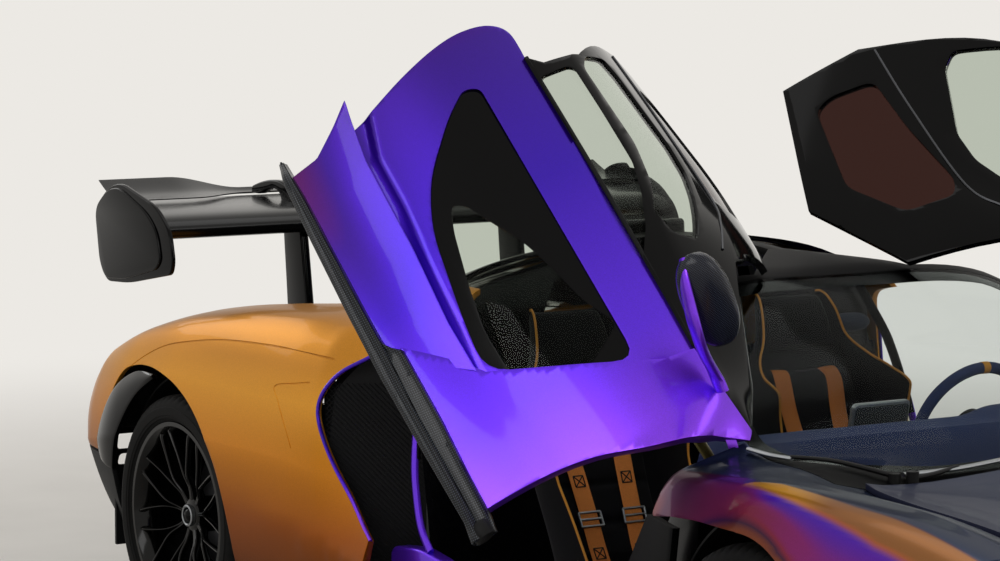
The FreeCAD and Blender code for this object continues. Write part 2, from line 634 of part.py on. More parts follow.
def upright(axle_x, centre_z, y_out, caliper_side):
    """The upright that carries the hub, with the brake caliper straddling the disc."""
    thick, half, top = 36, 46, 104
    corner = [(24, top), (half, top - 30)]
    quarters = corner + [(u, -w) for u, w in reversed(corner)]
    quarters += [(-u, -w) for u, w in corner] + [(-u, w) for u, w in reversed(corner)]
    plate = prism_xz([(axle_x + u, centre_z + w) for u, w in quarters], y_out, y_out + thick)
    studs = Part.makeCylinder(9, 2 * top + 26, V(axle_x, y_out + 13, centre_z - top - 13))
    inner, outer = y_out + 24, y_out - 68
    ring = rod(V(axle_x, inner, centre_z), V(axle_x, outer, centre_z), 212)
    ring = ring.cut(rod(V(axle_x, inner, centre_z), V(axle_x, outer, centre_z), 118))
    near, far = sorted((axle_x + caliper_side * 80, axle_x + caliper_side * 220))
    caliper = ring.common(block(near, far, outer, inner, centre_z - 85, centre_z + 85))
    slot = rod(V(axle_x, y_out - 1, centre_z), V(axle_x, y_out - 46, centre_z), dim["disc_radius"] + 6)
    near, far = sorted((axle_x + caliper_side * 30, axle_x + caliper_side * 125))
    bracket = block(near, far, y_out, y_out + 24, centre_z - 40, centre_z + 40)
    return plate.fuse([studs, caliper.cut(slot), bracket])


knuckle = upright(front_axle, axle_height, kingpin - 13, -1)
part("knuckle_right", knuckle)
part("knuckle_left", mirrored(knuckle))
hub_y = -dim["rear_wheel_y"]
rear_hub = upright(rear_axle, rear_height, hub_y + 67, 1)
rear_arms = [wishbone(rear_axle, hub_y + 80, -360, rear_height + dz, 150) for dz in (-128, 128)]
shaft = rod(V(rear_axle, hub_y + 90, rear_height), V(rear_axle, -200, rear_height), 22)
part("rear_hubs", both(rear_hub.fuse(rear_arms).fuse(shaft)))

# Gearbox, with the rear crash bar behind it and the threaded socket for a towing eye
TOW_Y, TOW_Z, TOW_RADIUS, TOW_FROM, TOW_TO = 250, 445, 9, -2265, -2205
gearbox = block(rear_axle - 200, -1255, -200, 200, 180, 560)
rails = [block(-2205, rear_axle - 200, y - 20, y + 20, 425, 465) for y in (-170, 170)]
crash_bar = block(-2235, -2205, -520, 520, 427, 463)
tow_boss = rod(V(TOW_TO, TOW_Y, TOW_Z), V(TOW_FROM, TOW_Y, TOW_Z), 17)
tow_bore = rod(V(TOW_TO + 1, TOW_Y, TOW_Z), V(TOW_FROM - 1, TOW_Y, TOW_Z), TOW_RADIUS)
part("gearbox", gearbox.fuse(rails + [crash_bar, tow_boss]).cut(tow_bore))

# Wheels: the outboard side of each is drawn towards +Y


def across_of(axle):
    """A function for a sketch term that lies an inset inside one edge of the tyre's width."""
    return lambda sign, inset: (f"{axle}_tyre_width", sign * 0.5, -sign * inset)


def tyre(name, axle):
    body = body_piece(name)
    outer, seat_radius = f"{axle}_tyre_radius", f"{axle}_rim_radius"
    across = across_of(axle)
    bead = [(seat_radius, -4, 20), (seat_radius, 2, 20), (seat_radius, 34, 1)]
    outside = bead + [(outer, -20, 6), (outer, -7, 22)]
    inside = [(outer, -22, 30), (seat_radius, 34, 16), (seat_radius, -4, 38)]
    section = [((alias, 1, offset), across(-1, inset)) for alias, offset, inset in outside]
    section += [((outer, 1, 0), across(-1, 52)), ((outer, 1, 0), across(1, 52))]
    section += [((alias, 1, offset), across(1, inset)) for alias, offset, inset in reversed(outside)]
    section += [((alias, 1, offset), across(1, inset)) for alias, offset, inset in reversed(inside)]
    section += [((alias, 1, offset), across(-1, inset)) for alias, offset, inset in inside]
    revolve(body, name + "_ring", section)
    return body


def rim(name, axle):
    """Hub with the brake disc, Y spokes and the barrel, which turn together."""
    body = body_piece(name)
    flange = f"{axle}_rim_radius"
    across = across_of(axle)
    hub = [
        (0, across(1, 26)), (34, across(1, 26)), (38, across(1, 32)), (58, across(1, 34)),
        (62, across(1, 54)), (50, across(1, 70)), (50, -12), (78, -28), (("disc_radius", 1, 0), -28),
        (("disc_radius", 1, 0), ("disc_thickness", -1, -28)), (0, ("disc_thickness", -1, -28)),
    ]
    revolve(body, name + "_hub", hub)
    spoke = [
        (40, -11), (108, -9), (flange, -30, -50), (flange, -27, -37), (130, 0), (flange, -27, 37),
        (flange, -30, 50), (108, 9), (40, 11),
    ]
    spoke = [((p[0], 1, p[1]), p[2]) if len(p) == 3 else p for p in spoke]
    arm = body.newObject("PartDesign::Pad", name + "_spoke")
    profile = bound_sketch(body, name + "_spoke_profile", [spoke], "XZ_Plane")
    profile.setExpression("AttachmentOffset.Base.z", f"-dimensions.{axle}_tyre_width / 2 + 46")
    arm.Profile = profile
    arm.Length = 24
    arm.Midplane = True
    doc.recompute()
    pattern = body.newObject("PartDesign::PolarPattern", name + "_spokes")
    pattern.Originals = [arm]
    pattern.Axis = (origin_feature(body, "Y_Axis"), [""])
    pattern.Angle = 360
    pattern.setExpression("Occurrences", "dimensions.spoke_count")
    doc.recompute()
    body.Tip = pattern
    half = [(0, 10), (0, 17), (-14, 20), (-26, 62)]
    section = [((flange, 1, offset), across(-1, inset)) for offset, inset in half]
    section += [((flange, 1, offset), across(1, inset)) for offset, inset in reversed(half)]
    back = [(-12, 10), (-24, 24), (-34, 64)]
    section += [((flange, 1, offset), across(1, inset)) for offset, inset in back]
    section += [((flange, 1, offset), across(-1, inset)) for offset, inset in reversed(back)]
    revolve(body, name + "_barrel", section)
    return body


WHEELS = [
    ("front_right", "front", RIGHT),
    ("front_left", "front", LEFT),
    ("rear_right", "rear", RIGHT),
    ("rear_left", "rear", LEFT),
]
for name, axle, side in WHEELS:
    spot = V(dim[f"{axle}_axle"], side * dim[f"{axle}_wheel_y"], dim[f"{axle}_tyre_radius"])
    turn = FreeCAD.Rotation(V(0, 0, 1), 180 if side == RIGHT else 0)
    tyre(f"tyre_{name}", axle).Placement = FreeCAD.Placement(spot, turn)
    rim(f"rim_{name}", axle).Placement = FreeCAD.Placement(spot, turn)

# Steering wheel, centre screen, engine and exhaust pipes, from primitives


def primitive(kind, name, placement=None, **sizes):
    item = doc.addObject(kind, name)
    for key, value in sizes.items():
        if isinstance(value, str):
            item.setExpression(key, f"dimensions.{value}")
        else:
            setattr(item, key, value)
    if placement is not None:
        item.Placement = placement
    return item


def at(x, y, z, rotation=None):
    return FreeCAD.Placement(V(x, y, z), rotation or FreeCAD.Rotation())


grip_sizes = {"Radius1": "steering_wheel_radius", "Radius2": "steering_grip_radius"}
grip = primitive("Part::Torus", "steering_grip", **grip_sizes)
boss = primitive("Part::Cylinder", "steering_boss", at(0, 0, -42), Radius=36, Height=46)
column = primitive("Part::Cylinder", "steering_column", at(0, 0, -230), Radius=26, Height=190)
cross = primitive("Part::Box", "steering_cross", at(-15, -160, -14), Length=30, Width=320, Height=14)
stem = primitive("Part::Box", "steering_stem", at(0, -18, -14), Length=160, Width=36, Height=14)
steering_wheel = doc.addObject("Part::MultiFuse", "steering_wheel")
steering_wheel.Shapes = [grip, boss, column, cross, stem]
tilt = FreeCAD.Rotation(V(0, 1, 0), dim["column_tilt"] - 90)
steering_wheel.Placement = FreeCAD.Placement(column_start, tilt)
steering_wheel.Label = "steering_wheel"
parts.append(steering_wheel)

screen_place = at(455, -90, 690, FreeCAD.Rotation(V(0, 1, 0), 12))
screen = primitive("Part::Box", "centre_screen", screen_place, Length=14, Width=180, Height=150)
parts.append(screen)
engine_sizes = {"Length": "engine_length", "Width": "engine_width", "Height": "engine_height"}
engine = primitive("Part::Box", "engine_block", at(-1250, -280, 190), **engine_sizes)
parts.append(engine)

pipes = []
for i, pipe_y in enumerate((-95, 0, 95)):
    lean = FreeCAD.Rotation(V(0, 0, 1), pipe_line)
    outside = primitive("Part::Cylinder", f"pipe_{i}", Radius="pipe_radius", Height="pipe_length")
    bore = primitive("Part::Cylinder", f"pipe_bore_{i}", Radius="pipe_bore", Height="pipe_length")
    pipe = doc.addObject("Part::Cut", f"exhaust_pipe_{i}")
    pipe.Base, pipe.Tool = outside, bore
    pipe.Placement = FreeCAD.Placement(V(-1840, pipe_y, 700), lean)
    pipes.append(pipe)
exhaust = doc.addObject("Part::Compound", "exhaust_tips")
exhaust.Links = pipes
parts.append(exhaust)

doc.recompute()
for item in doc.Objects:
    if "Invalid" in item.State or "Error" in item.State:
        raise RuntimeError(f"{item.Label} failed: {item.State}")
os.makedirs("parts", exist_ok=True)
for piece in parts:
    if piece.Shape.isNull() or not piece.Shape.isValid():
        raise RuntimeError(f"{piece.Label} has no valid shape")
    piece.Shape.exportStep(f"parts/{piece.Label}.step")
print(len(parts), "pieces")
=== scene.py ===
import bpy
import bmesh
import math
from mathutils import Matrix, Vector


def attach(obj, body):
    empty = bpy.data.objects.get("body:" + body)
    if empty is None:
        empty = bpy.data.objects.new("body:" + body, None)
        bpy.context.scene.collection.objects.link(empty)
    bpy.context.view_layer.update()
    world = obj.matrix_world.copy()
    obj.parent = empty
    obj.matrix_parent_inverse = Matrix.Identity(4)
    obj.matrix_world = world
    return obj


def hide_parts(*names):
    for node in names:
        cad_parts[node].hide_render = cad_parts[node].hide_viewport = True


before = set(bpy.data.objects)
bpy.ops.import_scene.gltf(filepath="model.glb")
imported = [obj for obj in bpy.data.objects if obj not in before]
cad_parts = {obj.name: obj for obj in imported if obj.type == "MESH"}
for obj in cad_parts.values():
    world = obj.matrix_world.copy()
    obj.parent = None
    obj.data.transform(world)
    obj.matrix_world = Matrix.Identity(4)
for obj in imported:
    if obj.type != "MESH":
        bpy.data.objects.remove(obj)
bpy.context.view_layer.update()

scene = bpy.context.scene
mm = 0.001  # every table below is in millimetres, X forward, Y left, Z up
outside = 1100  # further out than any side of the car
overhead = 1300  # higher than the roof
carSides = ((-1, "right"), (1, "left"))

# materials


def srgb(hexValue):
    # the linear colour behind a hex code
    channels = [int(hexValue[i:i + 2], 16) / 255 for i in (1, 3, 5)]
    linear = [c / 12.92 if c <= 0.04045 else ((c + 0.055) / 1.055) ** 2.4 for c in channels]
    return (*linear, 1.0)


def addNode(tree, kind, inputs=None, into=None, **settings):
    # an input is a value, or the node or socket that feeds it; into is the socket that the new node feeds
    item = tree.nodes.new(kind)
    for key, value in settings.items():
        setattr(item, key, value)
    for key, value in (inputs or {}).items():
        source = value.outputs[0] if isinstance(value, bpy.types.Node) else value
        if isinstance(source, bpy.types.NodeSocket):
            tree.links.new(source, item.inputs[key])
        else:
            item.inputs[key].default_value = value
    if into is not None:
        tree.links.new(item.outputs[0], into)
    return item


def newMaterial(name, **sockets):
    material = bpy.data.materials.new(name)
    material.use_nodes = True
    shader = material.node_tree.nodes["Principled BSDF"]
    for key, value in sockets.items():
        shader.inputs[key.replace("_", " ")].default_value = value
    return material, material.node_tree, shader


def objectSpace(tree, scale=1.0):
    # the point's place on the object, from metres to the pattern's own measure
    place = addNode(tree, "ShaderNodeTexCoord")
    return addNode(tree, "ShaderNodeMapping", {"Vector": place.outputs["Object"], "Scale": (scale,) * 3})


def setRamp(ramp, stops):
    while len(ramp.elements) < len(stops):
        ramp.elements.new(0.5)
    for element, (place, colour) in zip(ramp.elements, stops):
        element.position = place
        element.color = colour


def fadePaint(name, stops, flake=1.6, metallic=0.75, roughness=0.3, lacquer=0.35):
    # two-stage metallic paint: aluminium flakes under clear lacquer, its hue fading along the panel; on the
    # doors and the rear quarters the fade also carries painted light
    material, tree, shader = newMaterial(
        name, Metallic=metallic, Roughness=roughness, Coat_Weight=lacquer, Coat_Roughness=0.04,
        Specular_Tint=(0.45, 0.45, 0.45, 1.0),
    )
    fade = addNode(tree, "ShaderNodeAttribute", attribute_name="fade")
    ramp = addNode(tree, "ShaderNodeValToRGB", {"Fac": fade.outputs["Fac"]})
    setRamp(ramp.color_ramp, [(place, srgb(colour)) for place, colour in stops])
    # real flakes are 0.03 mm; these are drawn 1.6 mm wide so that they sparkle at the render's scale
    flakes = addNode(tree, "ShaderNodeTexVoronoi", {"Vector": objectSpace(tree), "Scale": 1 / (flake * mm)})
    value = addNode(
        tree, "ShaderNodeMapRange", {"Value": flakes.outputs["Color"], "To Min": 0.9, "To Max": 1.12},
    )
    addNode(
        tree, "ShaderNodeHueSaturation", {"Value": value, "Color": ramp}, into=shader.inputs["Base Color"],
    )
    return material


def paintMask(material, layerName, colour):
    # a second colour laid over the first where the point attribute is 1: the bonnet's own blue, and the gold
    # of a painted reflection
    tree = material.node_tree
    base = tree.nodes["Principled BSDF"].inputs["Base Color"]
    mask = addNode(tree, "ShaderNodeAttribute", attribute_name=layerName)
    addNode(tree, "ShaderNodeMixRGB", {
        "Fac": mask.outputs["Fac"], "Color1": base.links[0].from_socket, "Color2": srgb(colour),
    }, into=base)


def plainMaterial(name, colour, roughness, grain=0.0, grainSize=1.0, **sockets):
    # moulded, cast or cloth surfaces: one colour with a fine grain of the given size in millimetres
    material, tree, shader = newMaterial(name, Roughness=roughness, **sockets)
    noise = addNode(
        tree, "ShaderNodeTexNoise",
        {"Vector": objectSpace(tree), "Scale": 1 / (grainSize * mm), "Detail": 3.0},
    )
    ramp = addNode(
        tree, "ShaderNodeValToRGB", {"Fac": noise.outputs["Fac"]}, into=shader.inputs["Base Color"],
    )
    base = srgb(colour)
    dark = tuple(c * 0.82 for c in base[:3]) + (1.0,)
    light = tuple(min(1.0, c * 1.15) for c in base[:3]) + (1.0,)
    setRamp(ramp.color_ramp, [(0.3, dark), (0.7, light)])
    if grain:
        addNode(tree, "ShaderNodeBump", {
            "Height": noise.outputs["Fac"], "Strength": grain, "Distance": grainSize * mm * 0.3,
        }, into=shader.inputs["Normal"])
    return material


def twillMaterial(name, dark, light, cell, roughness=0.28):
    # carbon twill under clear lacquer: its tows catch the light in turn and read as small slanting checks
    material, tree, shader = newMaterial(
        name, Roughness=roughness, Specular_IOR_Level=0.2, Coat_Weight=0.12, Coat_Roughness=0.05,
    )
    place = addNode(tree, "ShaderNodeSeparateXYZ", {"Vector": objectSpace(tree, 1 / (cell * mm))})
    # real tows are 2 mm wide; cell is drawn coarser where the render could not show them
    across = addNode(
        tree, "ShaderNodeMath", {0: place.outputs["X"], 1: place.outputs["Y"]}, operation="ADD",
    )
    first = addNode(tree, "ShaderNodeMath", {0: across, 1: place.outputs["Z"]}, operation="ADD")
    second = addNode(tree, "ShaderNodeMath", {0: across, 1: place.outputs["Z"]}, operation="SUBTRACT")
    stripes = []
    for value, factor in ((first, 1.0), (second, 2.0)):
        scaled = addNode(tree, "ShaderNodeMath", {0: value, 1: factor * math.pi}, operation="MULTIPLY")
        stripes.append(addNode(tree, "ShaderNodeMath", {0: scaled}, operation="SINE"))
    weave = addNode(tree, "ShaderNodeMath", {0: stripes[0], 1: stripes[1]}, operation="MULTIPLY")
    ramp = addNode(tree, "ShaderNodeValToRGB", {"Fac": weave}, into=shader.inputs["Base Color"])
    setRamp(ramp.color_ramp, [(0.35, srgb(dark)), (0.6, srgb(light))])
    addNode(
        tree, "ShaderNodeBump", {"Height": weave, "Strength": 0.15, "Distance": 0.0004},
        into=shader.inputs["Normal"],
    )
    return material


def glassMaterial(name, colour, ior):
    # float or polycarbonate pane: clear, faintly tinted; its IOR is set low, so that the cabin shows
    material, tree, shader = newMaterial(
        name, Base_Color=srgb(colour), Roughness=0.0, Transmission_Weight=1.0, IOR=ior,
    )
    # the faint waves of a bent pane, a sixth of a metre apart
    waves = addNode(tree, "ShaderNodeTexNoise", {"Vector": objectSpace(tree), "Scale": 6.0})
    addNode(
        tree, "ShaderNodeBump", {"Height": waves.outputs["Fac"], "Strength": 0.02, "Distance": 0.0005},
        into=shader.inputs["Normal"],
    )
    return material


# violet metallic paint under lacquer, its ramp running from magenta through deep blue violet to bright
# violet; the magenta end stands partly for painted reflection and the bright end partly for painted highlight
violetPaint = fadePaint("violet metallic paint", [
    (0.0, "#5c1062"), (0.18, "#3a0e92"), (0.45, "#3b10b6"), (0.75, "#5f28e6"), (1.0, "#9040f4"),
])
# sprayed copper base under thin lacquer: a broad, soft, warm shine; its ramp runs from dark to bright copper,
# and on the quarters the dark end is partly painted shade and the bright end partly painted highlight
copperPaint = fadePaint("copper metallic paint", [
    (0.0, "#6a3206"), (0.3, "#9a5008"), (0.6, "#cc8018"), (0.85, "#da962c"), (1.0, "#c08026"),
], roughness=0.34, lacquer=0.15)
# blended bases on the front wings: bronze, burgundy, magenta and violet in turn, with a blue mask for the
# bonnet's colour and a gold mask that is a painted reflection of an orange wall
plumPaint = fadePaint("plum metallic paint", [
    (0.0, "#7c3c14"), (0.18, "#3c1632"), (0.38, "#7c1f38"), (0.62, "#7c1c66"), (0.8, "#5a1a92"),
    (1.0, "#3c14b0"),
], lacquer=0.15)
# painted reflection: a gold mask where an orange wall shows on the wings' inboard slope
paintMask(plumPaint, "wall_reflection", "#e6a21c")
paintMask(plumPaint, "night", "#28324a")
# satin lacquered blue black: a dull steel blue without clear reflections
midnightPaint = fadePaint(
    "midnight satin paint", [(0.0, "#222c44"), (1.0, "#2a2e42")], metallic=0.35, roughness=0.45, lacquer=0.1,
)
# laid and lacquered carbon: coarse checks on the large parts, closer ones on small or far parts
carbonTwill = twillMaterial("carbon twill in gloss lacquer", "#06070a", "#4c535c", 9.0)
carbonPod = twillMaterial("close carbon twill in gloss lacquer", "#090a10", "#4c5266", 6.0, roughness=0.22)
carbonFine = twillMaterial("fine carbon twill in gloss lacquer", "#050506", "#16171a", 6.0, roughness=0.2)
# sprayed black: the satin one takes only broad pale areas, the gloss one clear reflections
satinBlack = plainMaterial("black satin lacquer", "#040405", 0.5, Specular_IOR_Level=0.045)
glossBlack = plainMaterial("black gloss lacquer", "#030304", 0.08, Specular_IOR_Level=0.11)
# injection moulded with a spark-eroded grain: dull, and never quite black at a grazing angle
matteBlack = plainMaterial(
    "black moulded plastic", "#08080a", 0.6, grain=0.4, grainSize=1.2, Specular_IOR_Level=0.2,
)
# moulded rubber: the darkest and dullest surface outside
rubber = plainMaterial("tyre rubber", "#0b0b0b", 0.8, grain=0.5, grainSize=2.5, Specular_IOR_Level=0.15)
# forged and powder coated: thin bright lines along the spokes' edges
wheelBlack = plainMaterial("forged wheel in gloss black", "#040404", 0.12, Specular_IOR_Level=0.22)
# milled and blasted: soft and pale, the brightest metal of the car
satinAluminium = plainMaterial("satin aluminium", "#8d9093", 0.35, grain=0.2, grainSize=0.8, Metallic=1.0)
# brushed bare steel: a darker and broader shine
darkSteel = plainMaterial("brushed dark steel", "#4a4b4e", 0.4, grain=0.2, grainSize=0.8, Metallic=1.0)
# yellow passivated zinc on pressed steel: a faint brass tint
hingeSteel = plainMaterial("zinc passivated steel", "#8a7f4c", 0.35, grain=0.3, grainSize=1.5, Metallic=0.9)
# brushed microfibre: swallows light, with a pale bloom where it curves away
suede = plainMaterial(
    "black suede cloth", "#0a0a0d", 0.95, grain=0.6, grainSize=1.6, Sheen_Weight=0.08,
    Specular_IOR_Level=0.1,
)
paleSuede = plainMaterial(
    "grey suede cloth", "#3c4250", 0.9, grain=0.6, grainSize=1.6, Sheen_Weight=0.1, Specular_IOR_Level=0.1,
)
navySuede = plainMaterial(
    "blue black suede cloth", "#26335c", 0.9, grain=0.6, grainSize=1.6, Sheen_Weight=0.06,
    Specular_IOR_Level=0.1,
)
# woven polyester straps: flat and saturated, with the weave drawn 2 mm coarse so that it shows
orangeWebbing = plainMaterial(
    "orange woven webbing", "#e28a44", 0.85, grain=0.8, grainSize=2.0, Specular_IOR_Level=0.2,
)
# dyed leather rolled over a cord: a thin lively line
orangePiping = plainMaterial("orange leather piping", "#d08a1e", 0.6)
# bonded nylon: dark dashes on the straps
blackThread = plainMaterial("black stitching thread", "#0c0808", 0.8, grain=0.5, grainSize=0.8)
# laminated screen, toughened panes and smoked roof panes: from clear, through grey green, to brown
clearGlass = glassMaterial("windscreen glass", "#dbe2e0", 1.06)
darkGlass = glassMaterial("tinted door glass", "#c6cfc4", 1.12)
brownGlass = glassMaterial("brown tinted roof glass", "#3a2420", 1.12)
# moulded polycarbonate: clear, with a stronger edge than the panes have
lampGlass = glassMaterial("polycarbonate lamp cover", "#d5dade", 1.2)
# moulded acrylic: deep red that shines like glass
redLens = plainMaterial("red acrylic lens", "#7a0505", 0.1, Coat_Weight=1.0)
print("materials ready")

# making and shaping meshes


def newPiece(name, verts, faces, material=None):
    # a new object from points in millimetres
    mesh = bpy.data.meshes.new(name)
    mesh.from_pydata([Vector(v) * mm for v in verts], [], faces)
    mesh.validate()
    obj = bpy.data.objects.new(name, mesh)
    bpy.context.collection.objects.link(obj)
    if material:
        mesh.materials.append(material)
    return obj


def settle(obj, body, sharp=32, replaced=()):
    # smooth shading up to the sharp angle, then the body and the nodes whose place it takes
    mesh = obj.data
    mesh.shade_smooth()
    mesh.set_sharp_from_angle(angle=math.radians(sharp))
    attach(obj, body)
    if replaced:
        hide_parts(*replaced)
    return obj


def applyModifiers(obj):
    graph = bpy.context.evaluated_depsgraph_get()
    mesh = bpy.data.meshes.new_from_object(obj.evaluated_get(graph))
    obj.modifiers.clear()
    old = obj.data
    obj.data = mesh
    bpy.data.meshes.remove(old)


def discard(obj):
    mesh = obj.data
    bpy.data.objects.remove(obj)
    bpy.data.meshes.remove(mesh)


def prism(outline, axis, low, high, corner=0):
    # an outline in the plane square to the axis, its corners rounded, drawn out from low to high
    order = {"x": (1, 2, 0), "y": (0, 2, 1), "z": (0, 1, 2)}[axis]
    outline = roundCorners(outline, corner) if corner else outline

    def placed(point, depth):
        spot = (point[0], point[1], depth)
        return tuple(spot[order.index(i)] for i in range(3))

    count = len(outline)
    verts = [placed(p, low) for p in outline] + [placed(p, high) for p in outline]
    faces = [tuple(range(count))[::-1], tuple(range(count, 2 * count))]
    faces += [(i, (i + 1) % count, count + (i + 1) % count, count + i) for i in range(count)]
    tool = newPiece("tool", verts, faces)
    fixNormals(tool.data)
    return tool


def fixNormals(mesh):
    work = bmesh.new()
    work.from_mesh(mesh)
    bmesh.ops.recalc_face_normals(work, faces=work.faces)
    work.to_mesh(mesh)
    work.free()


def boolean(obj, tool, operation="DIFFERENCE"):
    modifier = obj.modifiers.new("cut", "BOOLEAN")
    modifier.operation = operation
    modifier.object = tool
    modifier.solver = "EXACT"
    applyModifiers(obj)
    discard(tool)
    return obj


def softenEdges(obj, width=2.0, angle=40, segments=2):
    bevel = obj.modifiers.new("edge", "BEVEL")
    bevel.width = width * mm
    bevel.segments = segments
    bevel.limit_method = "ANGLE"
    bevel.angle_limit = math.radians(angle)
    bevel.use_clamp_overlap = True
    applyModifiers(obj)
    return obj


def mirrorPiece(obj, name):
    mesh = obj.data.copy()
    mesh.transform(Matrix.Diagonal((1, -1, 1, 1)))
    mesh.flip_normals()
    twin = bpy.data.objects.new(name, mesh)
    bpy.context.collection.objects.link(twin)
    return twin


def roundCorners(points, radius, steps=4):
    # each corner gives way to a curve, which never takes more than 0.45 of the sides beside it
    rounded = []
    count = len(points)
    for i, corner in enumerate(points):
        here = Vector(corner)
        before, after = Vector(points[i - 1]), Vector(points[(i + 1) % count])
        reach = min(radius, (before - here).length * 0.45, (after - here).length * 0.45)
        start = here + (before - here).normalized() * reach
        end = here + (after - here).normalized() * reach
        for step in range(steps + 1):
            t = step / steps
            rounded.append(tuple(start * (1 - t) ** 2 + here * 2 * t * (1 - t) + end * t ** 2))
    return rounded


def setFade(obj, rule, layerName="fade"):
    # how far along its ramp or mask the paint is at each point
    layer = obj.data.attributes.new(layerName, "FLOAT", "POINT")
    for vertex, item in zip(obj.data.vertices, layer.data):
        item.value = min(1.0, max(0.0, rule(*(vertex.co / mm))))


def circle(radius, count):
    return [
        (radius * math.cos(2 * math.pi * k / count), radius * math.sin(2 * math.pi * k / count))
        for k in range(count)
    ]


def acrossCentre(line):
    # a line that runs up to the middle of the car, carried on down the other side
    return line + [Vector((p.x, -p.y, p.z)) for p in reversed(line[:-1])]


def splinePath(points, perSpan=6, closed=False):
    # a smooth line through the points
    spots = [Vector(p) for p in points]
    last = len(spots)
    path = []
    for i in range(last if closed else last - 1):
        if closed:
            a, b, c, d = (spots[(i + k) % last] for k in (-1, 0, 1, 2))
        else:
            a, b, c, d = spots[max(i - 1, 0)], spots[i], spots[i + 1], spots[min(i + 2, last - 1)]
        for step in range(perSpan):
            t = step / perSpan
            bend, twist = 2 * a - 5 * b + 4 * c - d, 3 * b - a - 3 * c + d
            path.append(0.5 * (2 * b + (c - a) * t + bend * t ** 2 + twist * t ** 3))
    return path if closed else path + [spots[-1]]


def smoothLine(points, perSpan=5):
    # the same for outlines in a plane
    return [(p.x, p.y) for p in splinePath([(x, z, 0) for x, z in points], perSpan)]


def loftRings(name, rings, capped=True):
    # a skin over rings that all have the same number of points
    count = len(rings[0])
    verts = [v for ring in rings for v in ring]
    faces = []
    for r in range(len(rings) - 1):
        for i in range(count):
            j = (i + 1) % count
            faces.append((r * count + i, r * count + j, (r + 1) * count + j, (r + 1) * count + i))
    if capped:
        faces.append(tuple(range(count)))
        faces.append(tuple(range(len(verts) - count, len(verts))))
    obj = newPiece(name, verts, faces)
    fixNormals(obj.data)
    return obj


def tube(name, points, radius, sides=12, perSpan=6, flat=1.0, up=(0, 0, 1), closed=False, taper=None):
    # a round or flattened bar along a smooth line; flat squeezes it along the direction up
    path = splinePath(points, perSpan, closed)
    rings = []
    for i, spot in enumerate(path):
        after = path[(i + 1) % len(path)] if closed else path[min(i + 1, len(path) - 1)]
        tangent = (after - path[i - 1 if closed else max(i - 1, 0)]).normalized()
        side = tangent.cross(Vector(up)).normalized()
        over = side.cross(tangent).normalized()
        size = radius * (taper(i / (len(path) - 1)) if taper else 1.0)
        rings.append([spot + side * size * a + over * size * flat * b for a, b in circle(1, sides)])
    if closed:
        rings.append(rings[0])
    obj = loftRings(name, rings, not closed)
    if closed:
        weld(obj)
    return obj


def stackedDiscs(name, place, stack, count):
    # a round solid from a table of (distance along, radius); place turns (across, up, along) into a point
    return loftRings(
        name, [[place(a, b, along) for a, b in circle(radius, count)] for along, radius in stack],
    )


def turned(name, profile, centre, side, segments=96, shape=None):
    # a closed profile of (radius, distance outboard) turned about a wheel's axis
    rings = []
    for k in range(segments):
        angle = 2 * math.pi * k / segments
        ring = []
        for radius, out in profile:
            r = shape(k, radius, out) if shape else radius
            ring.append(
                (centre[0] + r * math.cos(angle), centre[1] + side * out, centre[2] + r * math.sin(angle))
            )
        rings.append(ring)
    return weld(loftRings(name, rings + [rings[0]], False))


def edged(node, material, body, width=1.5):
    # the CAD piece with its edges broken, so that they catch the light
    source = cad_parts[node]
    mesh = source.data.copy()
    mesh.transform(source.matrix_world)
    obj = bpy.data.objects.new(node + "_finished", mesh)
    bpy.context.collection.objects.link(obj)
    work = bmesh.new()
    work.from_mesh(mesh)
    bmesh.ops.remove_doubles(work, verts=work.verts, dist=0.02 * mm)
    bmesh.ops.dissolve_limit(work, angle_limit=math.radians(1.5), verts=work.verts, edges=work.edges)
    work.to_mesh(mesh)
    work.free()
    softenEdges(obj, width, 30, 2)
    return dress(obj, material, body, replaced=[node])


def weld(obj, distance=0.05):
    work = bmesh.new()
    work.from_mesh(obj.data)
    bmesh.ops.remove_doubles(work, verts=work.verts, dist=distance * mm)
    bmesh.ops.recalc_face_normals(work, faces=work.faces)
    work.to_mesh(obj.data)
    work.free()
    return obj


def subdivide(obj, levels=1):
    modifier = obj.modifiers.new("smooth", "SUBSURF")
    modifier.levels = levels
    modifier.render_levels = levels
    applyModifiers(obj)
    return obj


def joinPieces(objects):
    # several loose solids become one piece
    work = bmesh.new()
    for obj in objects:
        work.from_mesh(obj.data)
    work.to_mesh(objects[0].data)
    work.free()
    for obj in objects[1:]:
        discard(obj)
    return objects[0]


def smoothStep(low, high, value):
    t = min(1.0, max(0.0, (value - low) / (high - low)))
    return t * t * (3 - 2 * t)


def lineAt(points, x):
    # reads a polyline of (x, value) points, rising in x
    if x <= points[0][0]:
        return points[0][1]
    for (ax, ay), (bx, by) in zip(points, points[1:]):
        if x <= bx:
            return ay + (by - ay) * (x - ax) / (bx - ax)
    return points[-1][1]


# the body's surface, right-hand half

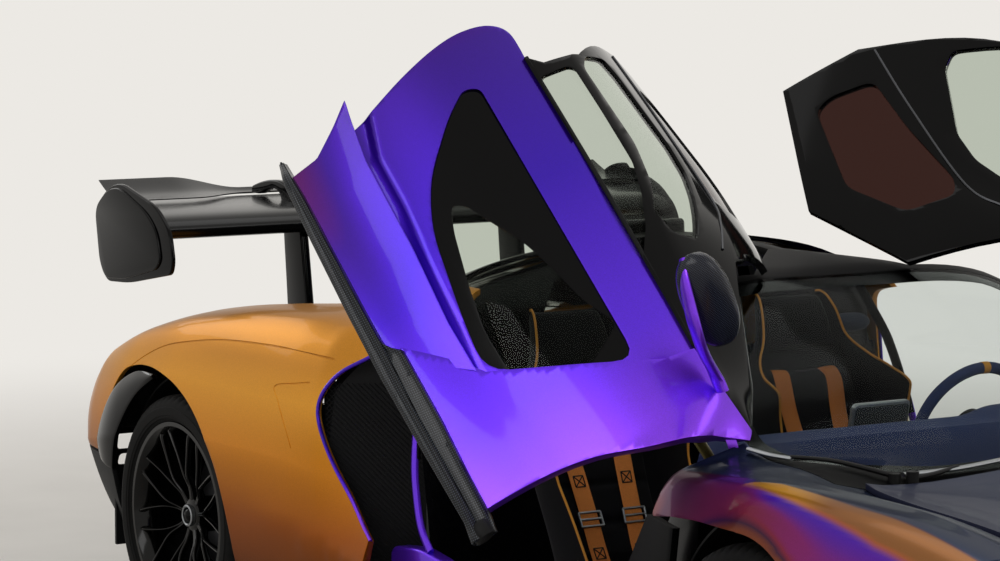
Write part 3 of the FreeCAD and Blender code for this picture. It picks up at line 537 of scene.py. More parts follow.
# x | floor y, z | sill y, z | crease y, z | waist y, z | crest y, z | rail y, z | roof edge y, z | centre z
bodySections = [
    (-2230, 700, 340, 800, 380, 862, 480, 850, 600, 800, 698, 720, 725, 500, 730, 735),
    (-2060, 800, 270, 880, 320, 938, 500, 914, 650, 850, 764, 770, 788, 520, 775, 785),
    (-1800, 850, 200, 930, 260, 980, 540, 955, 705, 875, 845, 782, 868, 520, 835, 845),
    (-1484, 850, 150, 945, 220, 992, 580, 965, 765, 880, 912, 772, 934, 480, 880, 900),
    (-1150, 850, 125, 945, 215, 990, 600, 965, 792, 880, 950, 762, 974, 400, 935, 990),
    (-850, 850, 115, 945, 230, 978, 595, 958, 805, 872, 962, 745, 990, 330, 1020, 1085),
    (-700, 850, 110, 945, 260, 962, 575, 948, 800, 862, 955, 735, 995, 290, 1100, 1150),
    (-470, 850, 105, 948, 342, 900, 548, 850, 840, 765, 975, 665, 1077, 230, 1176, 1190),
    (-100, 850, 105, 940, 300, 902, 497, 850, 816, 795, 930, 690, 1048, 240, 1176, 1193),
    (245, 850, 105, 932, 255, 905, 444, 852, 778, 800, 893, 740, 978, 520, 1118, 1158),
    (600, 850, 105, 928, 222, 912, 425, 862, 760, 815, 862, 760, 893, 676, 935, 1003),
    (745, 850, 105, 932, 218, 938, 434, 905, 700, 830, 750, 735, 850, 650, 872, 935),
    (830, 850, 105, 935, 215, 955, 440, 928, 672, 866, 758, 770, 775, 640, 803, 890),
    (1000, 850, 105, 945, 210, 970, 445, 945, 675, 866, 770, 770, 780, 440, 775, 808),
    (1186, 850, 105, 950, 205, 983, 450, 960, 676, 882, 778, 770, 784, 520, 722, 730),
    (1560, 850, 105, 945, 200, 979, 450, 957, 664, 882, 764, 760, 774, 500, 680, 668),
    (1900, 820, 110, 920, 195, 957, 400, 937, 605, 872, 704, 740, 712, 470, 625, 612),
    (2180, 740, 120, 840, 190, 890, 340, 870, 500, 800, 572, 670, 578, 400, 520, 505),
    (2330, 560, 150, 640, 190, 690, 260, 660, 350, 580, 400, 430, 415, 220, 418, 420),
]
# how far the surface runs round at each of the eight points: 0 is a hard edge
roundness = (0.1, 0.3, 0.45, 1.0, 0.85, 0.6, 0.8, 1.0)


def columnSlopes(xs, ys):
    # slopes that never let the line swing past its own points
    secants = [(ys[i + 1] - ys[i]) / (xs[i + 1] - xs[i]) for i in range(len(xs) - 1)]
    inner = []
    for a, b in zip(secants, secants[1:]):
        inner.append(0.0 if a * b <= 0 else 2 * a * b / (a + b))
    return [secants[0]] + inner + [secants[-1]]


def hermite(t):
    # weights of the start, its slope, the end and its slope
    return 2 * t ** 3 - 3 * t ** 2 + 1, t ** 3 - 2 * t ** 2 + t, 3 * t ** 2 - 2 * t ** 3, t ** 3 - t ** 2


stationX = [row[0] for row in bodySections]
columns = [[row[i] for row in bodySections] for i in range(1, 16)]
columnRates = [columnSlopes(stationX, column) for column in columns]


def columnAt(index, x):
    # one column of the table at any length along the car
    x = min(max(x, stationX[0]), stationX[-1])
    i = max(k for k in range(len(stationX) - 1) if stationX[k] <= x)
    width = stationX[i + 1] - stationX[i]
    t = (x - stationX[i]) / width
    ys, rates = columns[index], columnRates[index]
    start, leave, end, arrive = hermite(t)
    return start * ys[i] + leave * width * rates[i] + end * ys[i + 1] + arrive * width * rates[i + 1]


def sectionPoints(x):
    # the eight points of the body's section, y and z
    values = [columnAt(i, x) for i in range(15)]
    points = [Vector((-values[2 * i], values[2 * i + 1])) for i in range(7)]
    return points + [Vector((0.0, values[14]))]


def sectionCurve(x, low, high, perSpan):
    # perSpan is one number, or one for each of the seven spans
    points = sectionPoints(x)
    beyond = points + [Vector((-points[6].x, points[6].y))]
    tangents = []
    for i in range(8):
        if i == 0:
            tangents.append((points[1] - points[0]).normalized())
            continue
        before, after = points[i] - beyond[i - 1], beyond[i + 1] - points[i]
        tangents.append(
            (before.normalized() * after.length + after.normalized() * before.length).normalized()
        )
    curve = []
    for i in range(low, high):
        pieces = perSpan if isinstance(perSpan, int) else perSpan[i]
        start, end = points[i], points[i + 1]
        span = (end - start).length
        m0 = (end - start).lerp(tangents[i] * span, roundness[i])
        m1 = (end - start).lerp(tangents[i + 1] * span, roundness[i + 1])
        for step in range(pieces + (i == high - 1)):
            t = step / pieces
            weights = hermite(t)
            curve.append(start * weights[0] + m0 * weights[1] + end * weights[2] + m1 * weights[3])
    return curve


def flankY(x, z):
    # where the body's side stands at a given length and height, right-hand side
    line = sectionCurve(x, 0, 6, 12)
    for a, b in zip(line, line[1:]):
        if a.y <= z <= b.y:
            return a.x + (b.x - a.x) * (z - a.y) / (b.y - a.y)
    return line[-1].x


def gridSlab(name, grid, wall, inset=0.0, push=None):
    # a closed sheet under a grid of points on the skin; push moves its outer face outwards, in mm
    rows, columnsCount = len(grid) - 1, len(grid[0])
    normals = []
    for r in range(rows + 1):
        line = []
        for c in range(columnsCount):
            along = grid[min(r + 1, rows)][c] - grid[max(r - 1, 0)][c]
            around = grid[r][min(c + 1, columnsCount - 1)] - grid[r][max(c - 1, 0)]
            line.append(around.cross(along).normalized())
        normals.append(line)
    outward = normals[rows // 2][columnsCount // 3]
    sign = 1.0 if outward.y < 0 or outward.z > 0.5 else -1.0
    outer, inner = [], []
    for r in range(rows + 1):
        for c in range(columnsCount):
            normal = normals[r][c] * sign
            extra = push(grid[r][c], r / rows, c / (columnsCount - 1)) if push else 0.0
            outer.append(grid[r][c] - normal * (inset - extra))
            inner.append(grid[r][c] - normal * (inset + wall))
    total = len(outer)
    faces = []
    for r in range(rows):
        for c in range(columnsCount - 1):
            a = r * columnsCount + c
            b, d = a + 1, a + columnsCount
            faces.append((a, b, d + 1, d))
            faces.append((total + d, total + d + 1, total + b, total + a))
    rim = [c for c in range(columnsCount)]
    rim += [r * columnsCount + columnsCount - 1 for r in range(1, rows + 1)]
    rim += [rows * columnsCount + c for c in range(columnsCount - 2, -1, -1)]
    rim += [r * columnsCount for r in range(rows - 1, 0, -1)]
    for a, b in zip(rim, rim[1:] + rim[:1]):
        faces.append((a, total + a, total + b, b))
    slab = newPiece(name, outer + inner, faces)
    fixNormals(slab.data)
    return slab


def skinSlab(
    name, xLow, xHigh, pointLow, pointHigh, wall, inset=0.0, step=14.0, perSpan=7, full=False, push=None,
):
    rows = max(2, round((xHigh - xLow) / step))
    grid = []
    for r in range(rows + 1):
        x = xLow + (xHigh - xLow) * r / rows
        line = [Vector((x, p.x, p.y)) for p in sectionCurve(x, pointLow, pointHigh, perSpan)]
        grid.append(acrossCentre(line) if full else line)
    return gridSlab(name, grid, wall, inset, push)


def edgePatch(name, low, high, rear, front, rows, columns, wall, inset=0.0, push=None):
    # a piece of the flank between four edges of (x, z) points, all drawn from the rear or from below
    def along(points, t):
        spots = [Vector(p) for p in points]
        lengths = [(b - a).length for a, b in zip(spots, spots[1:])]
        reach = t * sum(lengths)
        for a, b, length in zip(spots, spots[1:], lengths):
            if reach <= length + 1e-6:
                return a.lerp(b, min(1.0, reach / length))
            reach -= length
        return spots[-1]

    grid = []
    for r in range(rows + 1):
        u = r / rows
        line = []
        for c in range(columns + 1):
            v = c / columns
            edges = along(low, u) * (1 - v) + along(high, u) * v
            edges = edges + along(rear, v) * (1 - u) + along(front, v) * u
            corners = Vector(low[0]) * (1 - u) * (1 - v) + Vector(low[-1]) * u * (1 - v)
            corners += Vector(high[0]) * (1 - u) * v + Vector(high[-1]) * u * v
            spot = edges - corners
            line.append(Vector((spot.x, flankY(spot.x, spot.y), spot.y)))
        grid.append(line)
    return gridSlab(name, grid, wall, inset, push)


def shapedPanel(name, slab, keep, removed=(), edge=2.0):
    # what lies inside the keep tool and outside the others, with its edges broken
    boolean(slab, keep, "INTERSECT")
    for tool in removed:
        boolean(slab, tool, "DIFFERENCE")
    softenEdges(slab, edge)
    slab.name = name
    return slab


def coat(obj, material, fade=None):
    obj.data.materials.clear()
    obj.data.materials.append(material)
    if fade:
        setFade(obj, fade)


def dress(obj, material, body, fade=None, replaced=(), sharp=32, name=None):
    coat(obj, material, fade)
    obj.name = name or obj.name
    return settle(obj, body, sharp, replaced)


def pairOf(name, obj, material, fade=None, nodes=(), onDoor=False):
    # dresses the right-hand piece and makes its mirror image, each on its own side's body
    coat(obj, material, fade)
    twin = mirrorPiece(obj, name + "_left")
    obj.name = name + "_right"
    for piece, (side, word) in zip((obj, twin), carSides):
        if onDoor:
            piece.data.transform(hingeSwing(side, door["openAngle"]))
        body = "door_" + word if onDoor else "root"
        settle(piece, body, replaced=[f"{node}_{word}" for node in nodes])
    return obj, twin


# doors, drawn shut and swung up

door = {
    "openAngle": 64.0,  # degrees
    "hinge": ((740, 690, 730), (265, 180, 1160)),  # two points of its axis, x, distance from the middle, z
    "edge": 3.0,
    # outlines seen from the side are x, z; plan, shoulder, roof and trim are x, y
    "front": [(745, 864), (690, 783), (647, 666), (583, 533), (550, 400), (534, 226)],
    "rear": [(-440, 588), (-466, 690), (-486, 800), (-493, 880), (-481, 945), (-442, 976), (-362, 969)],
    "belt": [(-362, 969), (0, 932), (300, 896), (482, 872)],
    "panelEdge": [
        (112, 270), (98, 318), (146, 361), (192, 400), (232, 428), (262, 446), (446, 744), (478, 800),
        (492, 871),
    ],
    "ridge": [(-494, 553), (-437, 536), (-331, 508), (-91, 478), (112, 442), (250, 430)],
    "groove": [(-448, 594), (-329, 545), (-196, 528), (-11, 488), (129, 464), (250, 437)],
    "roof": [(-331, 1000), (-331, 1085), (-456, 1215), (310, 1215), (310, 1086)],
    "plan": [
        (-350, -30), (57, -30), (292, -250), (292, -505), (600, -655), (745, -752), (745, -1100),
        (-600, -1100), (-600, -420), (-427, -289),
    ],
    "lowerWindow": [
        (446, 748), (257, 444), (111, 477), (-105, 540), (-214, 608), (-317, 733), (-357, 800), (-340, 836),
    ],
    "lowerClear": [
        (-131, 612), (-112, 638), (-25, 670), (51, 699), (127, 713), (244, 728), (339, 761), (390, 654),
        (290, 490), (178, 498), (60, 532), (-76, 581),
    ],
    "sideWindow": [
        (-297, 968), (-302, 1040), (-290, 1052), (-160, 1042), (-3, 1026), (85, 996), (165, 955), (240, 900),
        (206, 898), (73, 914), (-17, 932), (-166, 950),
    ],
    "shoulderWindow": [
        (-287, -661), (-56, -661), (67, -695), (135, -735), (205, -720), (240, -660), (174, -600), (96, -530),
        (30, -480), (-65, -450), (-285, -460), (-335, -490), (-325, -620),
    ],
    "roofWindow": [
        (23, -142), (149, -279), (134, -411), (76, -416), (-119, -330), (-297, -271), (-283, -149),
        (-249, -106),
    ],
    "trimLine": [(-398, -294), (-180, -350), (106, -441), (200, -525), (278, -600)],
    "bladeTop": [
        (-445, 350), (-344, 342), (-183, 320), (-24, 299), (93, 285), (267, 258), (395, 244), (540, 226),
        (596, 218),
    ],
    "bladeFoot": [
        (-445, 340), (-386, 322), (-233, 296), (-41, 266), (143, 241), (340, 221), (543, 203), (596, 188),
    ],
    "bladeSecond": [(60, 292), (110, 318), (301, 296), (440, 274), (554, 259), (596, 248)],
}
frameOutline = door["belt"][::-1] + door["roof"] + door["front"][:1]


def hingeSwing(side, degrees):
    # the door's turn about its slanting axis
    low, high = (Vector((x, side * y, z)) * mm for x, y, z in door["hinge"])
    turn = Matrix.Rotation(math.radians(-side * degrees), 4, high - low)
    return Matrix.Translation(low) @ turn @ Matrix.Translation(-low)


def doorFadeAndHighlight(x, y, z):
    # deep violet at the rear, brighter towards the front tip, partly the paint's own fade and partly painted
    # highlight; magenta low down by the blade's rear end, a painted reflection
    return 0.2 + 0.8 * (x + 430) / 1175 - 0.22 * smoothStep(470, 340, z) * smoothStep(200, -300, x)


def doorPair(name, obj, material, fade=None, nodes=()):
    return pairOf(name, obj, material, fade, nodes, onDoor=True)


# front of the door's skin, which runs on from the wing and stands proud of the surround
frontPanel = skinSlab("front", 60, 760, 0, 6, 45, perSpan=(2, 12, 20, 8, 5, 5))
frontOutline = door["front"][:1] + smoothLine(door["front"][1:], 5) + door["panelEdge"]
frontPanel = shapedPanel("front", frontPanel, prism(frontOutline, "y", -outside, 0), [
    prism([(292, 0), (292, -505), (600, -655), (745, -752), (760, -600), (760, 0)], "z", 0, overhead),
], 5.0)
# the door's fade is partly painted highlight towards the front and painted reflection by the blade
doorPair("door_front_panel", frontPanel, violetPaint, doorFadeAndHighlight, ["door_shell"])


def windowRecess(point, u, v):
    # the surround sinks into a groove under the flank's ridge
    edge = lineAt(door["groove"], point.x)
    return -14.0 * smoothStep(edge + 4, edge - 26, point.z)


surround = skinSlab(
    "surround", -500, 520, 1, 6, 24, inset=9, step=12, perSpan=(2, 14, 40, 8, 5, 5), push=windowRecess,
)
surroundOutline = [
    (-425, 505), (-91, 450), (112, 410), (262, 405), (470, 740), (510, 868),
] + door["belt"][:0:-1]
surroundOutline += smoothLine(door["rear"], 6)[::-1]
surround = shapedPanel("surround", surround, prism(surroundOutline, "y", -outside, 0), [
    prism(door["lowerWindow"], "y", -outside, -700, 60),
], door["edge"])
doorPair("door_window_surround", surround, violetPaint, doorFadeAndHighlight)


def flankRise(point, u, v):
    # hollow flank that rises to a sharp ridge, higher at the rear
    return (20 - 17 * u) * v ** 2.4 - 5.0 * math.sin(math.pi * v) * (1 - 0.5 * u)


flank = edgePatch(
    "flank", [(-400, 330), (-183, 306), (118, 270)], door["ridge"],
    [(-400, 330), (-410, 421), (-455, 495), (-494, 553)],
    [(118, 270), (122, 318), (168, 356), (212, 392), (250, 430)], 60, 26, 30, push=flankRise,
)
softenEdges(flank, 2.5, segments=3)
doorPair("door_flank", flank, violetPaint, doorFadeAndHighlight)

# black upper frame with its three openings, thin at the curved rail between them
upper = skinSlab("upper", -500, 760, 3, 7, 18, perSpan=9)
boolean(upper, prism(door["plan"], "z", 0, overhead), "INTERSECT")
upper = shapedPanel("upper", upper, prism(frameOutline, "y", -outside, 0), [
    prism(door["sideWindow"], "y", -outside, -600, 14),
    prism(door["shoulderWindow"], "z", 960, overhead, 18),
    prism(door["roofWindow"], "z", 1060, overhead, 30),
], door["edge"])
doorPair("door_frame", upper, glossBlack)

# panes, each cut a little larger than its opening where the frame hides its edge
for paneName, spans, keep, tint, sunk in (
    ("door_pane_low", (2, 4), prism(door["lowerWindow"], "y", -outside, -700, 60), darkGlass, 18),
    ("door_pane_side", (4, 7), prism(door["sideWindow"], "y", -outside, -560, 14), darkGlass, 6),
    ("door_pane_shoulder", (4, 7), prism(door["shoulderWindow"], "z", 955, overhead, 18), darkGlass, 6),
    ("door_pane_roof", (5, 7), prism(door["roofWindow"], "z", 1040, overhead, 30), brownGlass, 5),
):
    pane = skinSlab(paneName, -470, 480, *spans, 5, inset=sunk, perSpan=8)
    boolean(pane, keep, "INTERSECT")
    nodes = ["door_glass"] if paneName == "door_pane_low" else []
    doorPair(paneName, pane, tint, None, nodes)

# printed black border inside the low pane
frit = skinSlab("frit", -420, 470, 2, 4, 1.2, inset=16.5)
boolean(frit, prism(door["lowerWindow"], "y", -outside, -700, 60), "INTERSECT")
boolean(frit, prism(door["lowerClear"], "y", -outside, -700, 24), "DIFFERENCE")
doorPair("door_frit", frit, glossBlack)


def roofZ(x, y, lift=0.0):
    # height of the skin over a point of the plan, right-hand side
    line = sectionCurve(x, 4, 7, 14)
    for a, b in zip(line, line[1:]):
        if a.x <= y <= b.x:
            return a.y + (b.y - a.y) * (y - a.x) / (b.x - a.x) + lift
    return line[-1].y + lift


trim = tube("trim", [(x, y, roofZ(x, y, 1.0)) for x, y in door["trimLine"]], 3.5, sides=8, perSpan=10)
doorPair("door_roof_trim", trim, darkSteel)
rail = tube("seal", [(x, flankY(x, z) + 9, z + 3) for x, z in door["belt"]], 6, sides=8, perSpan=10)
doorPair("door_belt_seal", rail, matteBlack)

# carbon blade: two long strips that meet in a groove, the second only along the front panel
bladeRings = []
bladeRear, bladeFront, bladeFace, bladeSteps = -445, 596, -984, 60
for i in range(bladeSteps + 1):
    x = bladeRear + (bladeFront - bladeRear) * i / bladeSteps
    top, foot, second = (lineAt(door[key], x) for key in ("bladeTop", "bladeFoot", "bladeSecond"))
    amount = smoothStep(60, 112, x)
    second = top + 2 + (second - top - 2) * amount
    width = 0.25 + 0.75 * smoothStep(bladeRear, bladeRear + 50, x)
    face = bladeFace + 30 * (1 - width)
    ring = [
        (-925, foot + 8), (face + 10, foot - 1), (face + 1, foot + 8), (face, (top + foot) / 2),
        (face + 6, top - 7), (face + 13, top),
        (face + 17 + 6 * amount, top + 3 * amount), (face + 12 + 8 * amount, top + (second - top) * 0.35),
        (face + 15 + 8 * amount, top + (second - top) * 0.8), (face + 24 + 8 * amount, second),
        (-925, second + 3),
    ]
    bladeRings.append([(x, y, z) for y, z in ring])
blade = softenEdges(loftRings("blade", bladeRings), 1.5, segments=2)
doorPair("door_blade", blade, carbonTwill, None, ["door_blade"])
# rounded shoe that closes the blade's front end: x, size, how far it drops
shoeRings = ((560, 0.8, 4), (572, 1.0, 3), (590, 1.0, 1), (598, 0.9, 1), (602, 0.7, 0), (604, 0.35, 0))
bladeEnd = loftRings("end", [
    [(x, -957 + size * 24 * a, 220 + drop + size * 28 * b) for a, b in circle(1, 20)]
    for x, size, drop in shoeRings
])
doorPair("door_blade_end", bladeEnd, matteBlack)

# mirror: a carbon pod, swept back, on a violet stalk that runs along its underside
pod = {
    "centre": Vector((465, -984, 959)), "along": Vector((84, 99, -26)), "half": 61.0, "depth": 42.0,
    "stalk": [
        (624, -846, 862), (586, -868, 872), (546, -940, 879), (508, -1018, 896), (460, -1044, 918),
        (412, -1062, 942), (374, -1066, 966),
    ],
}
podAlong = pod["along"].normalized()
podUp = Vector((0.25, 0, 1)).cross(podAlong).cross(podAlong).normalized() * -1
podSide = podAlong.cross(podUp).normalized()
podRings = []
for i in range(25):
    t = -1 + 2 * i / 24
    size = (1 - abs(t) ** 2.6) ** 0.5 if abs(t) < 1 else 0.04
    middle = pod["centre"] + pod["along"] * t
    ring = []
    for a, b in circle(1, 32):
        u, w = math.copysign(abs(a) ** 0.8, a), math.copysign(abs(b) ** 0.9, b)
        ring.append(
            middle + podSide * (pod["depth"] * size * u) + podUp * (pod["half"] * max(size, 0.05) * w)
        )
    podRings.append(ring)
doorPair("mirror_shell", loftRings("pod", podRings), carbonPod, None, ["door_mirror"])
stalk = tube(
    "stalk", pod["stalk"], 29, sides=20, perSpan=8, flat=0.42, up=(0.2, 0.5, 1),
    taper=lambda t: 1.0 - 0.5 * t ** 4,
)
doorPair("mirror_stalk", stalk, violetPaint, lambda x, y, z: 0.9)
# plate that carries the hinge's foot, seen as a small violet triangle behind the wing
for side, word in carSides:
    across, deep = Vector((0.541, 0.841 * -side, 0)), Vector((-0.841, 0.541 * -side, 0))
    spot = Vector((800, side * 684, 812))
    corners = [spot + across * u + Vector((0, 0, w)) for u, w in ((-16, 14), (10, 14), (18, -14), (-6, -14))]
    bracket = loftRings("bracket", [[c - deep * 4 for c in corners], [c + deep * 4 for c in corners]])
    dress(
        softenEdges(bracket, 2.0), violetPaint, "door_" + word, lambda x, y, z: 1.0,
        name="door_bracket_" + word,
    )
print("doors ready")

# screen and roof

cabinTop = {
    # half outlines in plan, x and y
    "glass": [
        (1120, 0), (1098, -300), (1022, -500), (905, -618), (775, -652), (620, -606), (350, -476),
        (330, -300), (320, 0),
    ],
    "clear": [
        (1076, 0), (1056, -285), (990, -470), (888, -580), (775, -612), (630, -570), (394, -448),
        (380, -290), (370, 0),
    ],
    "doorRoom": [
        (-356, -24), (60, -24), (298, -247), (298, -500), (602, -648), (751, -746), (751, -1100),
        (-606, -1100), (-606, -414), (-433, -283),
    ],
    "reach": [(-470, -640), (862, -640), (862, 640), (-470, 640)],
    "corner": 60,
}


def bothSides(outline):
    return outline + [(x, -y) for x, y in reversed(outline) if y < 0]


def screenTool(key):
    # cuts one of the screen's outlines through the roof and the screen
    return prism(bothSides(cabinTop[key]), "z", 700, overhead, cabinTop["corner"])


screen = skinSlab("windscreen_glass", 300, 1140, 4, 7, 6, full=True, perSpan=9)
boolean(screen, screenTool("glass"), "INTERSECT")
dress(screen, clearGlass, "root", replaced=["windscreen"])
screenFrame = skinSlab("screen_frame_shell", -470, 862, 4, 7, 18, full=True, perSpan=12)
boolean(screenFrame, prism(cabinTop["reach"], "z", 790, overhead), "INTERSECT")
for side in (1, -1):
    boolean(screenFrame, prism([(x, y * side) for x, y in cabinTop["doorRoom"]], "z", 0, overhead))
boolean(screenFrame, screenTool("glass"))
softenEdges(screenFrame, 3.0)
dress(screenFrame, satinBlack, "root", replaced=["screen_frame"])
screenFrit = skinSlab("screen_frit", 300, 1140, 4, 7, 1.2, inset=6.2, full=True, perSpan=9)
boolean(screenFrit, screenTool("glass"), "INTERSECT")
boolean(screenFrit, screenTool("clear"))
dress(screenFrit, glossBlack, "root")
print("screen ready")

# front panels

front = {
    "noseX": 1900, "bonnetHalf": 556, "cowlHalf": 642,
    "archX": 1186, "archZ": 327, "archRadius": 358,
    # wing's outline from the side, x and z
    "wing": [
        (806, 1000), (806, 752), (820, 669), (905, 680), (1010, 686), (1186, 686), (1300, 640), (1400, 650),
        (1400, 240), (1896, 240), (1896, 1000),
    ],
    # seen from above, x and y: the wing's crest, and where the gold strip of painted reflection meets the
    # bonnet's blue
    "crest": [(1100, -878), (1374, -907), (1630, -928), (1900, -925)],
    "wall_reflection": [
        (1100, -874), (1122, -858), (1200, -838), (1326, -848), (1491, -858), (1630, -854), (1900, -850),
    ],
    # x and y of the lamp and of the bowl in it, y and z of the nose's intake and of its opening
    "lamp": [(1985, -905), (2230, -800), (2215, -640), (2030, -690)],
    "bowl": [(1995, -893), (2218, -796), (2204, -652), (2036, -698)],
    "intake": [(-612, 192), (-640, 292), (-548, 366), (-140, 348), (-112, 192)],
    "opening": [(-606, 198), (-633, 290), (-546, 360), (-146, 342), (-118, 198)],
    "pocketCorner": 26,
    "splitter": [
        (2372, 0), (2350, -420), (2240, -740), (2090, -900), (1700, -968), (1580, -960), (1580, -700),
    ],
}


def topFloor(x):
    # height above which a point belongs to the wing's upper side
    return 700 - 0.6 * max(0.0, x - 1300)


def wingFade(x, y, z):
    # bronze round the arch, burgundy then magenta along the flank, violet on the crest, plum inboard of it
    along = lineAt(
        [(806, 0.16), (900, 0.2), (1050, 0.34), (1200, 0.4), (1330, 0.54), (1500, 0.66), (1900, 0.7)], x,
    )
    drop = columnAt(9, x) - z
    violet = smoothStep(40 + 80 * smoothStep(1200, 1600, x), 6, drop) * smoothStep(1080, 1270, x)
    bronze = smoothStep(46, 4, math.hypot(x - front["archX"], z - front["archZ"]) - front["archRadius"])
    bronze = max(bronze, 0.3 * smoothStep(880, 815, x) * smoothStep(30, 70, drop))
    value = (along + (1.0 - along) * violet) * (1 - 0.92 * bronze)
    inner = smoothStep(-2, 16, y - lineAt(front["crest"], x)) if z > topFloor(x) else 0.0
    return value + (0.2 - value) * inner


def wingWallReflection(x, y, z):
    # painted reflection: a gold strip just inboard of the crest, where an orange wall shows in the paint
    crest, edge = lineAt(front["crest"], x), lineAt(front["wall_reflection"], x)
    between = smoothStep(crest - 4, crest + 12, y) * smoothStep(edge + 5, edge - 5, y)
    return between * smoothStep(1098, 1114, x) * (1 - 0.75 * smoothStep(1210, 1440, x))


def wingNight(x, y, z):
    # everything inboard of the gold strip of painted reflection is the bonnet's colour
    edge = lineAt(front["wall_reflection"], x) + 40 * (1 - smoothStep(1060, 1110, x))
    return smoothStep(edge - 6, edge + 6, y) if z > topFloor(x) else 0.0


wing = skinSlab("wing", 780, front["noseX"], 1, 7, 14, step=8, perSpan=(2, 8, 10, 14, 26, 8, 8))
boolean(
    wing,
    prism([(700, -1100), (700, -646), (1140, -646), (1140, -560), (1950, -560), (1950, -1100)], "z", 0, 1200),
    "INTERSECT",
)
arch = [(front["archX"] + a, front["archZ"] + b) for a, b in circle(front["archRadius"], 160)]
wing = shapedPanel(
    "wing", wing, prism(front["wing"], "y", -outside, 0, 14), [prism(arch, "y", -outside, -500)], 4.0,
)
# mask of the gold strip of painted reflection, then the mask of the bonnet's blue
setFade(wing, wingWallReflection, "wall_reflection")
setFade(wing, wingNight, "night")
pairOf("front_wing_panel", wing, plumPaint, wingFade, ["front_wing"])

bonnet = skinSlab("bonnet_panel", 1130, 1910, 5, 7, 14, full=True)
half = front["bonnetHalf"]
bonnetTool = prism([(1140, -half), (1140, half), (1896, half), (1896, -half)], "z", 400, 1000)
bonnet = shapedPanel("bonnet_panel", bonnet, bonnetTool)
dress(bonnet, midnightPaint, "root", lambda x, y, z: abs(y) / front["bonnetHalf"], ["bonnet"])

scuttle = skinSlab("cowl_panel", 850, 1140, 4, 7, 14, full=True, step=8, perSpan=12)
half = front["cowlHalf"]
scuttleTool = prism([(864, -half), (864, half), (1136, half), (1136, -half)], "z", 600, 1000)
scuttle = shapedPanel("cowl_panel", scuttle, scuttleTool, [screenTool("glass")])
dress(scuttle, satinBlack, "root", replaced=["scuttle"])


# wipers parked across the foot of the screen
def onSkin(points, lift):
    return [(x, y, roofZ(x, -abs(y), lift)) for x, y in points]


wiperBlades = [
    tube("blade", onSkin([(836, -664), (888, -640), (940, -614)], 10), 10, sides=12, flat=0.5),
    tube("blade", onSkin([(1094, -410), (1102, -260), (1100, -118)], 12), 10, sides=12, flat=0.5),
]
dress(joinPieces(wiperBlades), satinAluminium, "root", name="wiper_blades")
wiperArms = [
    tube(
        "arm", onSkin([(936, -616), (1010, -540), (1096, -443)], 14), 5.5, sides=10, flat=0.8,
        taper=lambda t: 1 + 0.5 * t,
    ),
    tube(
        "arm", onSkin([(1100, -250), (1112, -330), (1118, -400)], 15), 5.5, sides=10, flat=0.8,
        taper=lambda t: 1 + 0.5 * t,
    ),
    tube("pivot", [(1100, -440, 738), (1100, -440, 764)], 15, sides=20, perSpan=1, up=(1, 0, 0)),
    tube("pivot", [(1120, -402, 735), (1120, -402, 768)], 15, sides=20, perSpan=1, up=(1, 0, 0)),
]
dress(joinPieces(wiperArms), matteBlack, "root", name="wiper_arms")


def noseFade(x, y, z):
    # violet near the crest
    return 0.7 + 0.3 * smoothStep(46, 6, columnAt(9, x) - z)


def noseWallReflection(x, y, z):
    # the wing's gold strip of painted reflection dies out
    return wingWallReflection(x, -abs(y), z) * smoothStep(2010, 1900, x)


def noseNight(x, y, z):
    # the bonnet's colour takes over towards the tip
    return max(wingNight(x, -abs(y), z), smoothStep(1915, 2190, x + 0.35 * (z - 300)))


# nose, one closed shell with pockets for the lamps and the two intakes
noseRings = []
for i in range(37):
    x = front["noseX"] + 430 * i / 36
    noseRings.append(acrossCentre([Vector((x, p.x, p.y)) for p in sectionCurve(x, 1, 7, 8)]))
nose = loftRings("nose_shell", noseRings)
for side in (1, -1):
    lampOutline = [(x, y * side) for x, y in front["lamp"]]
    intakeOutline = [(y * side, z) for y, z in front["intake"]]
    boolean(nose, prism(lampOutline, "z", 455, 700, front["pocketCorner"]))
    boolean(nose, prism(intakeOutline, "x", 2120, 2400, front["pocketCorner"]))
softenEdges(nose, 3.0)
# mask of the gold strip of painted reflection, then the mask of the bonnet's blue
setFade(nose, noseWallReflection, "wall_reflection")
setFade(nose, noseNight, "night")
dress(nose, plumPaint, "root", noseFade, ["nose"])
# a liner in each intake, with three vanes across it
intakeLiner = prism(front["intake"], "x", 2116, 2328, front["pocketCorner"])
boolean(intakeLiner, prism(front["opening"], "x", 2124, 2400, 22))
vanes = [intakeLiner]
for z in (232, 272, 312):
    vane = prism(
        [(2236, z + 10), (2240, z + 16), (2304, z + 1), (2308, z - 4), (2300, z - 7)], "y", -660, -100,
    )
    boolean(vane, prism(front["intake"], "x", 2200, 2320, front["pocketCorner"]), "INTERSECT")
    vanes.append(vane)
pairOf("nose_intake", joinPieces(vanes), matteBlack)
lampCover = skinSlab("lamp_cover", 1960, 2250, 3, 6, 4, inset=2, step=8, perSpan=10)
boolean(lampCover, prism(front["lamp"], "z", 400, 760, front["pocketCorner"]), "INTERSECT")
lampCovers = pairOf("headlamp_cover", lampCover, lampGlass)
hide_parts("headlamps")
lampBowl = prism(front["bowl"], "z", 452, 480, 22)
pairOf("headlamp_bowl", softenEdges(lampBowl, 3.0), satinAluminium)
lampLenses = []
for x, y, radius in ((2050, -800, 30), (2108, -768, 30), (2162, -734, 26)):
    stack = [
        (478, radius + 6), (500, radius + 6), (503, radius), (506, radius), (516, radius * 0.8),
        (523, radius * 0.45), (525, 3),
    ]
    lampLenses.append(stackedDiscs("lens", lambda a, b, z: (x + a, y + b, z), stack, 28))
pairOf("headlamp_lenses", joinPieces(lampLenses), glossBlack)
lampStrip = tube("strip", [(2030, -862, 520), (2120, -826, 508), (2205, -776, 498)], 6, sides=10)
pairOf("headlamp_strip", lampStrip, satinAluminium)
